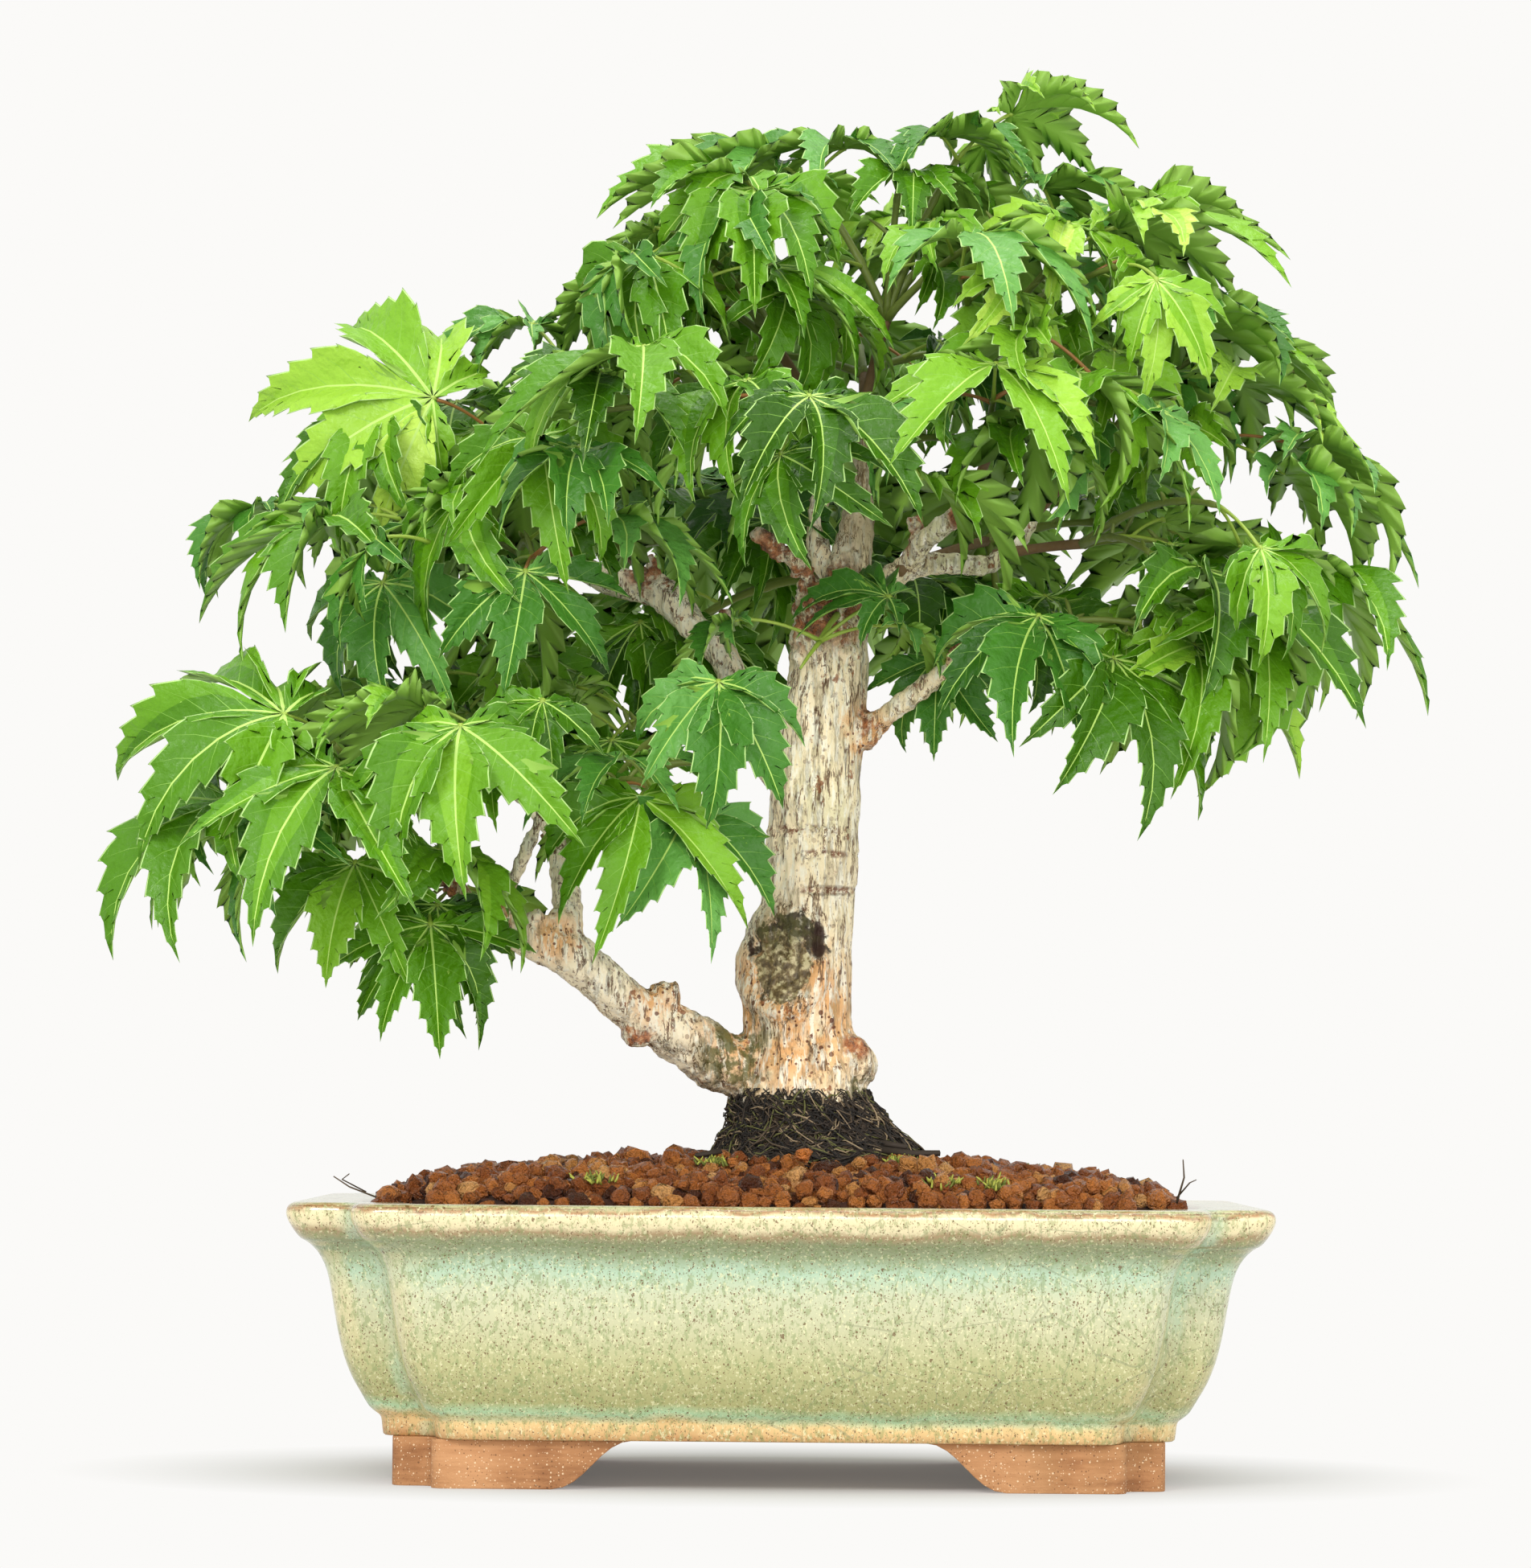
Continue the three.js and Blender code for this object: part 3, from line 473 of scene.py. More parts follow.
glaze = {
    # height, and the colour there; the darker greens at 45.5 and 48 are painted shade under the lip
    "levels": [
        (9.0, (190, 142, 88)), (12.4, (226, 192, 130)), (13.4, (204, 206, 156)), (14.4, (172, 204, 158)),
        (16.5, (166, 164, 106)), (24.0, (182, 180, 126)), (33.0, (196, 196, 156)), (38.0, (198, 202, 166)),
        (42.5, (178, 204, 174)), (45.5, (152, 166, 126)), (48.0, (146, 152, 110)), (49.6, (164, 138, 98)),
        (50.8, (226, 212, 168)), (53.2, (232, 218, 172)), (54.0, (172, 128, 84)), (54.8, (200, 194, 146)),
        (56.0, (206, 212, 172)),
    ],
    "inCreases": rgb(172, 208, 174),
    "onEdges": rgb(214, 196, 140),
    "lipLine": rgb(134, 92, 62),
    "milk": rgb(226, 216, 164),
    "mottle": rgb(122, 142, 82),
    "flecks": rgb(232, 228, 180),
    # iron specks, few and large or many and small: cells to a metre, how few have one, its share of a cell
    "specks": ((420, 0.93, 0.15), (900, 0.82, 0.2), (1500, 0.72, 0.26), (2300, 0.6, 0.28)),
    "iron": rgb(104, 74, 36),
    "craze": rgb(120, 126, 92),
    "tint": (0.95, 0.955, 0.97, 1),
}
clay = {
    "tones": [(0.32, rgb(138, 90, 54)), (0.5, rgb(172, 122, 80)), (0.68, rgb(192, 142, 98))],
    "damp": rgb(124, 92, 50),
    "gritSizes": (1300, 2300),
    "paleGrit": rgb(238, 212, 176),
    "darkGrit": rgb(100, 66, 40),
}


def arc(centre, radius, fromTurn, toTurn, steps):
    turns = np.radians(np.linspace(fromTurn, toTurn, steps + 1))
    return [(centre[0] + radius * math.cos(t), centre[1] + radius * math.sin(t)) for t in turns]


def potOutline(halfLength, height):
    # one level of the pot, and how far each point lies in a crease (1) or on an edge (-1)
    a = halfLength
    b = halfLength - pot["depthLess"]
    cut = pot["cornerCut"] * halfLength
    r = pot["cornerRound"]
    crease = pot["creaseRound"]
    quarter = [(a, (b - cut - r) * i / 8) for i in range(8)]
    marks = [0.0] * 8
    quarter += arc((a - r, b - cut - r), r, 0, 90, 5)
    marks += [-0.3, -0.8, -1, -1, -0.8, -0.3]
    quarter += arc((a - cut + crease, b - cut + crease), crease, 270, 180, 4)
    marks += [0.6, 1, 1, 1, 0.6]
    quarter += arc((a - cut - r, b - r), r, 0, 90, 5)
    marks += [-0.3, -0.8, -1, -1, -0.8, -0.3]
    quarter += [((a - cut - r) * (1 - i / 12), b) for i in range(1, 12)]
    marks += [0.0] * 11
    half = quarter + [(0, b)] + [(-x, y) for x, y in quarter[::-1]]
    halfMarks = marks + [0.0] + marks[::-1]
    whole = half + [(-x, -y) for x, y in half[1:-1]]
    places = inFrame([(x, y, height) for x, y in whole])
    return places, halfMarks + halfMarks[1:-1]


def glazeFinish():
    made = Finish("celadonGlaze", Roughness=0.2, IOR=1.5, Coat_Weight=0.35, Coat_Roughness=0.04)
    runs = made.noise(90, 4, 0.6, made.moved((1, 1, 0.25)))
    blotch = made.noise(38, 3, 0.6)
    height = made.axis("Z") + (runs - 0.5) * 3.4 + (blotch - 0.5) * 5
    low, high = glaze["levels"][0][0], glaze["levels"][-1][0]
    share = made.span(height, low, high, smooth=False)
    # the colour by height, with painted shade under the lip at 45.5 and 48
    base = made.ramp(share, [((z - low) / (high - low), rgb(*colour)) for z, colour in glaze["levels"]])
    # glaze gathers blue-green in the creases and draws back from the edges to the brown clay
    crease = made.node("ShaderNodeAttribute", {"attribute_name": "crease"}, out="Fac")
    gathered = made.span(crease, 0.25, 0.95) * made.span(runs, 0.35, 0.6)
    base = made.mix(gathered * 0.6, base, glaze["inCreases"])
    drawn = made.span(crease, -0.25, -1.0) * made.span(blotch, 0.42, 0.62)
    base = made.mix(drawn * 0.5, base, glaze["onEdges"])
    # the brown line of the lip
    lip = made.node("ShaderNodeAttribute", {"attribute_name": "lipEdge"}, out="Fac")
    worn = made.noise(160, 4, 0.65)
    base = made.mix(made.span(lip + (worn - 0.5) * 1.6, 0.45, 1.0) * 0.85, base, glaze["lipLine"])
    # milky patches and fine green mottling
    milk = made.noise(26, 4, 0.6, made.moved((1, 1, 0.6), (0.3, 0.1, 0)))
    base = made.mix(made.span(milk, 0.54, 0.7) * 0.5, base, glaze["milk"])
    mottle = made.noise(900, 3, 0.75, made.moved((1, 1, 0.45)))
    base = made.mix(made.span(mottle, 0.5, 0.6) * 0.5, base, glaze["mottle"])
    flecks = made.noise(1700, 2, 0.6, made.moved((1, 1, 0.7), (0.2, 0.3, 0.1)))
    base = made.mix(made.span(flecks, 0.57, 0.66) * 0.55, base, glaze["flecks"])
    # iron specks, a little out of round
    ragged = made.node("ShaderNodeVectorMath", {"operation": "MULTIPLY_ADD"},
                       {0: made.noise(2200, 2, out="Color"), 1: (0.0006, 0.0006, 0.0012), 2: made.place()})
    for size, few, share in glaze["specks"]:
        spot = made.cells(size, ragged)
        base = made.mix((spot < share) * (made.chosen(size, ragged) > few) * 0.8, base, glaze["iron"])
    # craze lines on one side
    craze = made.cells(120, made.moved((1, 1, 0.7)), feature="DISTANCE_TO_EDGE")
    where = made.span(made.noise(14, 2), 0.48, 0.6)
    base = made.mix((craze < 0.01) * where * 0.4, base, glaze["craze"])
    base = made.mix(1.0, base, glaze["tint"], "MULTIPLY")
    made.feed("Base Color", base)
    bare = made.span(height, 13.4, 12.4)
    made.feed("Roughness", bare * 0.45 + made.span(mottle, 0.3, 0.7, 0.12, 0.24))
    skin = made.noise(260, 3, 0.55) + mottle * 0.25
    made.bump(skin, 0.22, 0.0006)
    return made


def clayFinish():
    made = Finish("bareClay", Roughness=0.85, IOR=1.45)
    wide = made.noise(45, 4, 0.6)
    lines = made.noise(120, 4, 0.7, made.moved((0.4, 0.4, 5)))
    base = made.ramp(wide + (lines - 0.5) * 0.5, clay["tones"])
    damp = made.span(made.noise(22, 3, 0.6), 0.55, 0.7)
    base = made.mix(damp * 0.5, base, clay["damp"])
    for size in clay["gritSizes"]:
        grit = made.cells(size)
        pick = made.chosen(size)
        base = made.mix((grit < 0.24) * (pick > 0.76) * 0.7, base, clay["paleGrit"])
        base = made.mix((grit < 0.26) * (pick < 0.14) * 0.7, base, clay["darkGrit"])
    made.feed("Base Color", base)
    made.bump(made.noise(900, 3, 0.7) + lines * 0.6, 0.5, 0.0005)
    return made


def makePot():
    rings, marks = [], {}
    profile = np.array(pot["profile"])
    lipFrom = int(np.argmin(np.abs(profile[:, 0] - pot["lipFrom"])))
    lineAbove, lineHalf = pot["lipLine"]
    # with levels between those of the profile, on a smooth curve
    path = np.c_[profile[:, 1], profile[:, 0], np.zeros(len(profile)), np.zeros(len(profile))]
    for i, (half, height, _, _) in enumerate(spline(path, 2 * (len(profile) - 1))):
        places, creases = potOutline(half, min(height, pot["top"]))
        rings.append(places)
        lip = max(0.0, 1 - abs(i / 2 - (lipFrom + lineAbove)) / lineHalf)
        creased = i / 2 < lipFrom + pot["creasedLevels"]
        for place, crease in zip(places, creases):
            marks[tuple(np.round(place, 6))] = (crease if creased else 0.0, lip)
    piece = extrudeRings("pot_glazed", rings)
    values = np.array([marks.get(tuple(np.round(v.co, 6)), (0.0, 0.0)) for v in piece.data.vertices])
    for column, name in enumerate(("crease", "lipEdge")):
        attribute = piece.data.attributes.new(name, "FLOAT", "POINT")
        attribute.data.foreach_set("value", values[:, column].astype(np.float32))
    # two drain holes in the floor
    for side in (-1, 1):
        deselect()
        middle = inFrame((side * pot["drainOffset"], 0, pot["drainHeight"]))[0]
        bpy.ops.mesh.primitive_cylinder_add(vertices=40, radius=pot["drainRadius"] * mm,
                                            depth=pot["drainDepth"] * mm, location=middle)
        bpy.ops.object.transform_apply(location=True)
        hole = bpy.context.object
        applyModifier(piece, "BOOLEAN", operation="DIFFERENCE", object=hole, solver="EXACT")
        bpy.data.objects.remove(hole)
    only(piece)
    bpy.ops.object.shade_smooth_by_angle(angle=math.radians(pot["smoothUnder"]))
    paint(piece, glazeFinish())
    ready(piece, "glaze", "pot")


def makeFeet():
    # copies of the solids' feet, with their upright corners and their edges rounded
    finish = clayFinish()
    for node in feet["nodes"]:
        deselect()
        foot = frame["nodes"][node].copy()
        foot.data = frame["nodes"][node].data.copy()
        foot.parent = None
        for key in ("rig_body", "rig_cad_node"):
            del foot[key]
        foot.name = foot.data.name = node + "_clay"
        bpy.context.scene.collection.objects.link(foot)
        only(foot)
        bpy.ops.object.mode_set(mode="EDIT")
        bpy.ops.mesh.select_all(action="SELECT")
        bpy.ops.mesh.remove_doubles(threshold=0.00001)
        bpy.ops.mesh.tris_convert_to_quads()
        bpy.ops.mesh.dissolve_limited(angle_limit=math.radians(2))
        bpy.ops.mesh.select_mode(type="EDGE")
        bpy.ops.mesh.select_all(action="DESELECT")
        shape = bmesh.from_edit_mesh(foot.data)
        for edge in shape.edges:
            way = (edge.verts[1].co - edge.verts[0].co) / mm
            edge.select = abs(way.z) > feet["shortest"] and math.hypot(way.x, way.y) < feet["upright"]
        bmesh.update_edit_mesh(foot.data)
        bpy.ops.mesh.bevel(offset=feet["cornerRound"] * mm, segments=5, affect="EDGES")
        bpy.ops.object.mode_set(mode="OBJECT")
        applyModifier(foot, "BEVEL", width=feet["edgeRound"] * mm, segments=2, limit_method="ANGLE",
                      angle_limit=math.radians(40))
        bpy.ops.object.shade_smooth_by_angle(angle=math.radians(feet["smoothUnder"]))
        paint(foot, finish)
        ready(foot, "bare_clay", node)
    print("pot: glaze and feet")


makePot()
makeFeet()

# The soil
soil = {
    # share of the outline, height
    "levels": [[1, 53], [0.97, 54.6], [0.9, 57.4], [0.76, 59.6], [0.48, 61.6], [0.3, 63]],
    "halfLength": 81.2,
    # the lower layer of grains stands in rows, the upper one is strewn
    "spacing": 3.5,
    "rowGap": 0.9,  # as a share of the spacing
    "rows": (25, 19),
    "jitter": 0.8,
    "sunk": 1.3,
    "margin": 2.4,
    "extra": 620,
    "extraWithin": (79, 53),
    "extraMargin": 2.6,
    "shapes": 14,
    "size": [1.5, 2.45],  # half widths of the grains
    "colours": [
        (156, 87, 41), (182, 107, 50), (204, 125, 60), (220, 150, 80), (88, 46, 24), (236, 174, 106)],
    "shares": [0.25, 0.25, 0.2, 0.11, 0.14, 0.05],
    # one bright grain before the root ball
    "orange": (224, 132, 60),
    "orangePlace": (4.26875, -26, 64.6),
    # the dark bed beneath, its near-black painted shade in the gaps between the grains: half length and
    # height of its rings in the pot, and how far it lies in the soil
    "bedRings": ((70.3, 14), (76.5, 24), (80.4, 51.5)),
    "bedWithin": 0.9,
    "bedUnder": 1.6,
    "bedShadeTones": [(0.35, rgb(38, 22, 14)), (0.7, rgb(74, 40, 24))],
}


def soilHeight(x, y):
    halfDepth = soil["halfLength"] - pot["depthLess"]
    share = np.maximum(np.abs(x) / soil["halfLength"], np.abs(y) / halfDepth)
    shares, heights = zip(*soil["levels"][::-1])
    return np.interp(share, shares, heights)


def inSoil(x, y, margin):
    a = soil["halfLength"] - margin
    b = a - pot["depthLess"]
    cut = pot["cornerCut"] * soil["halfLength"]
    return abs(x) < a and abs(y) < b and not (abs(x) > a - cut and abs(y) > b - cut)


def grainShapes(count):
    # a few lumpy grains, made once and copied
    shapes = []
    for seed in range(count):
        deselect()
        bpy.ops.mesh.primitive_ico_sphere_add(subdivisions=2, radius=1)
        ball = bpy.context.object
        places = placesOf(ball)
        lumps = wobble(places, 0.8, 2, seed) * 0.42 + wobble(places, 0.28, 1, seed + 40) * 0.4
        places *= (1 + lumps)[:, None]
        places *= np.array([1.0, 0.82 + 0.03 * (seed % 5), 0.76 + 0.04 * (seed % 4)])
        faces = [tuple(polygon.vertices) for polygon in ball.data.polygons]
        shapes.append((places, faces))
        mesh = ball.data
        bpy.data.objects.remove(ball)
        bpy.data.meshes.remove(mesh)
    return shapes


def grainSpots(rng):
    spots = []
    step, jitter = soil["spacing"], soil["jitter"]
    across, deep = soil["rows"]
    for i in range(-across, across + 1):
        for j in range(-deep, deep + 1):
            x = (i + 0.5 * (j % 2)) * step + rng.uniform(-jitter, jitter)
            y = j * step * soil["rowGap"] + rng.uniform(-jitter, jitter)
            if inSoil(x, y, soil["margin"]):
                spots.append((x, y, soilHeight(x, y) - soil["sunk"] + rng.uniform(-0.5, 0.5)))
    halfLength, halfDepth = soil["extraWithin"]
    for _ in range(soil["extra"]):
        x, y = rng.uniform(-halfLength, halfLength), rng.uniform(-halfDepth, halfDepth)
        if inSoil(x, y, soil["extraMargin"]):
            spots.append((x, y, soilHeight(x, y) + rng.uniform(-0.6, 0.9)))
    return [*spots, soil["orangePlace"]]


def grainFinishes():
    finishes = []
    for number, colour in enumerate([*soil["colours"], soil["orange"]]):
        made = Finish(f"bakedClayGrain{number}", Base_Color=rgb(*colour), Roughness=0.5)
        pores = made.noise(1500, 3, 0.7)
        made.feed("Roughness", made.span(pores, 0.35, 0.65, 0.12, 0.46))
        made.bump(pores * 0.8 + made.noise(780, 2) * 1.6, 1.0, 0.003)
        finishes.append(made)
    return finishes


def makeSoil():
    rng = random.Random(11)
    shapes = grainShapes(soil["shapes"])
    spots = grainSpots(rng)
    orange = len(soil["colours"])
    places, faces, slots = [], [], []
    offset = 0
    for index, spot in enumerate(spots):
        shape, shapeFaces = shapes[rng.randrange(len(shapes))]
        size = rng.uniform(*soil["size"]) * rng.choice((0.85, 1, 1, 1.12))
        angle = rng.uniform(0, 6.28)
        turn = Matrix.Rotation(angle, 3, (rng.uniform(-1, 1), rng.uniform(-1, 1), rng.uniform(-1, 1)))
        places.append(shape @ np.array(turn).T * size + spot)
        faces += [tuple(v + offset for v in face) for face in shapeFaces]
        colour = rng.choices(range(orange), soil["shares"])[0]
        slots += [orange if index == len(spots) - 1 else colour] * len(shapeFaces)
        offset += len(shape)
    grains = meshFrom("soil_grains", inFrame(np.vstack(places)), faces, grainFinishes(), slots)
    ready(grains, "soil")
    print("soil:", len(spots), "grains")


def makeSoilBed():
    # the dark bed beneath the grains, down to the floor of the pot; its near-black is painted shade that
    # shows in the gaps between them
    rings = [potOutline(half, height)[0] for half, height in soil["bedRings"]]
    middle = inFrame(np.zeros(3))[0][:2]
    for share, height in soil["levels"]:
        ring = potOutline(soil["halfLength"] - soil["bedWithin"], height - soil["bedUnder"])[0].copy()
        ring[:, :2] = middle + (ring[:, :2] - middle) * share
        rings.append(ring)
    bed = extrudeRings("soil_bed", rings)
    dark = Finish("soilBedPaintedShade", Roughness=0.95)
    dark.feed("Base Color", dark.ramp(dark.noise(300, 3), soil["bedShadeTones"]))
    dark.bump(dark.noise(700, 3), 0.8, 0.001)
    paint(bed, dark)
    only(bed)
    bpy.ops.object.shade_smooth_by_angle(angle=math.radians(60))
    ready(bed, "soil", "soil")


makeSoil()
makeSoilBed()

# Trunk and boughs
# along the middle of the wood: x, y, z, radius
trunkSpine = [
    [3.9, 0, 74.2, 13.4], [3.6, 0, 83, 12.1], [3.1, 0, 90, 10.9], [2.9, 0, 103, 11.1], [4.8, 0, 112.6, 9.6],
    [6, 0, 130, 9.2], [6.7, 0, 145, 9.1], [8.5, 0, 158, 8.4], [9.2, 0.5, 166, 8], [11.8, 2.5, 176, 5.4],
    [14, 4.5, 190, 3.3], [15.6, 4.5, 203, 2.6], [15.4, 3, 216, 2.2],
]
limbs = {
    "stump": [[8, -1, 158, 6.4], [7.4, -2.4, 169, 6.4], [7, -3.4, 180.5, 4.7]],
    "low_left_bough": [
        [-2, -1, 84, 6.8], [-9.9, -3, 82, 6.2], [-20.4, -8, 88.2, 5.5], [-30.1, -12, 93.5, 4.7],
        [-38.1, -16, 100.4, 4.6], [-44.4, -18, 105.2, 4.7], [-50.8, -19, 106.9, 3.8],
        [-57.8, -20.5, 112, 3.6]],
    "low_left_fork": [
        [-43, -17.6, 106, 3.2], [-42.8, -17, 112, 2.9], [-44.2, -14, 120.4, 2.4], [-46.4, -12, 128.1, 1.9],
        [-50.6, -10, 134.5, 1.7], [-54.7, -8, 137.1, 1.6]],
    "low_left_spur": [
        [-56, -20.5, 108.6, 2.4], [-62.4, -24, 113.6, 2.4], [-65.6, -27, 118, 2.1], [-69.8, -30, 122.4, 1.9]],
    "low_left_twig": [
        [-55.8, -20.6, 111, 1.6], [-53.6, -22.4, 118, 1.3], [-50.6, -25, 125, 1.1], [-47.8, -28, 131.7, 1]],
    "mid_left_bough": [
        [3, 2, 138, 4], [-3.2, 6, 144, 3.4], [-8.2, 12, 153.6, 2.9], [-12.4, 18, 165.5, 3.1],
        [-20, 22, 174, 3.2], [-25.9, 26, 180.1, 3.4], [-36.7, 28, 182.6, 3], [-43.5, 30, 186.1, 2.6]],
    "right_lower_bough": [
        [9, -1, 148, 3.4], [17, -2.4, 150.6, 2.9], [21.4, -6, 153.6, 2.2], [28.9, -10, 159, 2],
        [39, -16, 167.5, 1.7]],
    "right_upper_bough": [
        [11.6, 2, 172, 3], [17.4, 4, 178.4, 2.6], [25, 6, 183.7, 2.4], [34, 8, 184.8, 2.1],
        [41.5, 10, 184.9, 2], [47.2, 10, 189.2, 1.9], [50.4, 10, 194.9, 1.6]],
    "right_upper_spur": [
        [24.6, 5.8, 183.5, 2], [28, -0.6, 188.6, 1.9], [32.4, -5, 192, 1.9], [36.5, -8, 194, 1.9]],
    "back_leader": [
        [12, 3, 177, 2.6], [7.1, 8, 186.2, 2.3], [6.2, 10, 194.5, 2], [7.8, 10.4, 201.1, 1.9],
        [9.3, 9, 210.7, 1.6]],
    # scaly stubs of old twigs, seen in front of the stump and on the boughs
    "stump_twig": [
        [5, -6, 179, 1.7], [1.6, -9, 183.4, 1.4], [-1.5, -10, 185.6, 1.7], [-6.5, -12, 189.1, 1.5]],
    "stump_spur": [[5.6, -7, 172, 1.9], [4.4, -9.5, 176, 1.5]],
    "upper_stub": [[26, 6, 184.5, 1.6], [26.6, 4.4, 189, 1.5], [26.2, 3.6, 194, 1.7]],
    "mid_stub": [[-14, 17.6, 170, 1.7], [-12.2, 14.5, 175.5, 1.3]],
    "mid_spur": [[-27, 26, 182, 1.8], [-28.4, 23.5, 187.5, 1.2]],
    "low_stub": [[-47, -18, 108, 1.8], [-49.4, -21.6, 112, 1.4]],
}
# swellings: place, radius, shares of it along x, y, z
knobs = [
    [(14.4, -3, 83), 4.7, (0.95, 1, 1.15)],
    [(-23.8, -11, 95.4), 3.3, (1, 1, 1.1)],
    [(-29, -12.6, 88.4), 2.9, (1.1, 0.9, 0.9)],
    [(-21.6, -11.4, 97.3), 1.5, (0.8, 0.8, 1.2)],
    [(-44, -19, 111), 2.6, (1.2, 1, 0.8)],
    [(-55.6, -21.5, 107.6), 3.4, (1.1, 1, 1)],
    [(6.6, -7.2, 129.4), 2.6, (2, 1, 0.6)],
    [(-58.4, -21.6, 115), 2.6, (1, 1, 1)],
    [(16.4, -2.6, 149.2), 3.2, (0.8, 1, 1)],
    [(17.6, -1.6, 152.6), 1.5, (1, 1, 1)],
    [(34.5, -13.2, 164.6), 2.2, (1, 1, 1)],
]
bark = {
    "nodes": [
        "trunk", "low_left_bough", "low_left_fork", "low_left_spur", "low_left_twig", "mid_left_bough",
        "right_lower_bough", "right_upper_bough", "right_upper_spur", "back_leader"],
    "voxel": 0.55,
    "footFades": (74.2, 75.4),  # heights between which the relief begins, so that the foot stays on the roots
    # the hollow of the old cut: middle and half sizes, and the slots beside it: x, z, half height
    "scar": (-0.4, -11, 103),
    "scarSize": (6.8, 8.4),
    "slots": ((6.9, 107, 3.0), (-5.9, 106.5, 1.9)),
    # ring scars of old twigs: height, from x, to x, depth
    "rings": ((129.4, -6, 13, 0.7), (124.6, 3, 15, 0.45), (117.4, 3, 16, 0.5)),
    # scaly stubs and burrs: middle, radius
    "burrs": (
        ((-1, -9.5, 184.5), 7), ((26.2, 4, 191), 4.5), ((35, -7.4, 193.2), 4.2), ((-13, 15.5, 173), 4),
        ((-28, 24.5, 184.5), 5), ((-66, -27, 118.5), 6), ((-56, -21.5, 110), 5), ((17, -2.4, 150.5), 4.5),
        ((36, -13.6, 165.5), 5), ((14.4, -3, 83), 6)),
}
# colours of the bark, and where they lie: middle and half sizes, or radius
barkLook = {
    "tones": [
        (0.3, rgb(255, 242, 210)), (0.46, rgb(255, 236, 200)), (0.6, rgb(248, 232, 192)),
        (0.76, rgb(226, 220, 178))],
    "paintedLightFrom": 5,  # x at which the tone is as it is; it grows paler to the left and darker to the right, painted light on the lit left side and painted shade on the right
    # warm ochre about the foot, the old cut and the boughs' collars
    "ochreAt": (
        ((0, -8, 92), (17, 20, 15)), ((-24, -11, 95), (7, 9, 6)), ((-45, -18, 107), (5, 8, 5)),
        ((-57, -21, 111), (5, 7, 6)), ((36, -13.6, 165.5), (6, 7, 6)), ((16, -3, 150), (6, 7, 6)),
        ((0, -10, 101), (11, 8, 11))),
    "ochre": rgb(230, 164, 94),
    "paleOchre": rgb(240, 214, 178),
    "dull": rgb(182, 158, 112),
    "pale": rgb(255, 250, 230),
    "crack": rgb(108, 78, 50),
    "shortCrack": rgb(98, 62, 38),
    "rust": rgb(150, 88, 46),
    # dots: cells to a metre, and how few of them have one
    "dots": ((520, 0.8), (900, 0.62)),
    "dot": rgb(104, 50, 24),
    "ringsAt": (((1.5, -8, 129.4), (9, 7, 1.2)), ((8, -7, 124.7), (5, 7, 0.8))),
    "lowestRing": ((9, -6, 117.4), (6, 8, 0.9)),
    "ring": rgb(122, 66, 36),
    # cork: the stump's crown, and the scaly stubs
    "crownAt": ((7, -4, 176), (10, 9, 11)),
    "corkAt": (
        ((-1, -9.5, 184.5), 7.5), ((26.2, 4, 191), 5), ((36, -8, 194), 4.4), ((-13, 15.5, 173), 4.5),
        ((-28, 24.5, 184.5), 5), ((-67, -28, 119.5), 6.5), ((17, -2.4, 150.5), 4.2), ((37, -14.4, 166), 4.6),
        ((-43.6, 30, 186), 4), ((14.6, -6, 86), 3), ((-29, -13, 88), 3.4)),
    "corkTones": [
        (0.36, rgb(74, 38, 22)), (0.47, rgb(150, 84, 46)), (0.57, rgb(196, 120, 70)),
        (0.7, rgb(226, 180, 136))],
    # the old cut: olive wood under a dark arch, with a dark slot at each side; the palest of its tones are
    # painted glints
    "cutAt": ((-0.4, -11, 102.2), (6.2, 8, 7.4)),
    "cutTonesAndGlints": [(0.38, rgb(84, 70, 44)), (0.5, rgb(132, 116, 78)), (0.6, rgb(214, 202, 158))],
    "archAt": ((0.5, -11, 104.4), (8.6, 9, 8.4)),
    "archFrom": (106.5, 110),
    "arch": rgb(54, 44, 26),
    "slotsAt": (((7.1, -9, 107), (1.35, 6, 3.8)), ((-6.4, -9.5, 106.4), (1.1, 6, 2.8))),
    "slot": rgb(52, 28, 16),
    # moss on the collar of the low bough and beside the foot, and a thinner film above the old cut
    "mossAt": (((-9.4, -9, 85), (7.5, 9, 8.5)), ((15.5, -2, 78.5), (4, 8, 4))),
    "filmAt": ((-2, -10, 110), (9, 6, 4)),
    "moss": rgb(96, 96, 44),
    # the new wood of the leader is darker and greener
    "youngAt": ((15, 3, 206), (7, 10, 22)),
    "young": rgb(136, 118, 78),
}


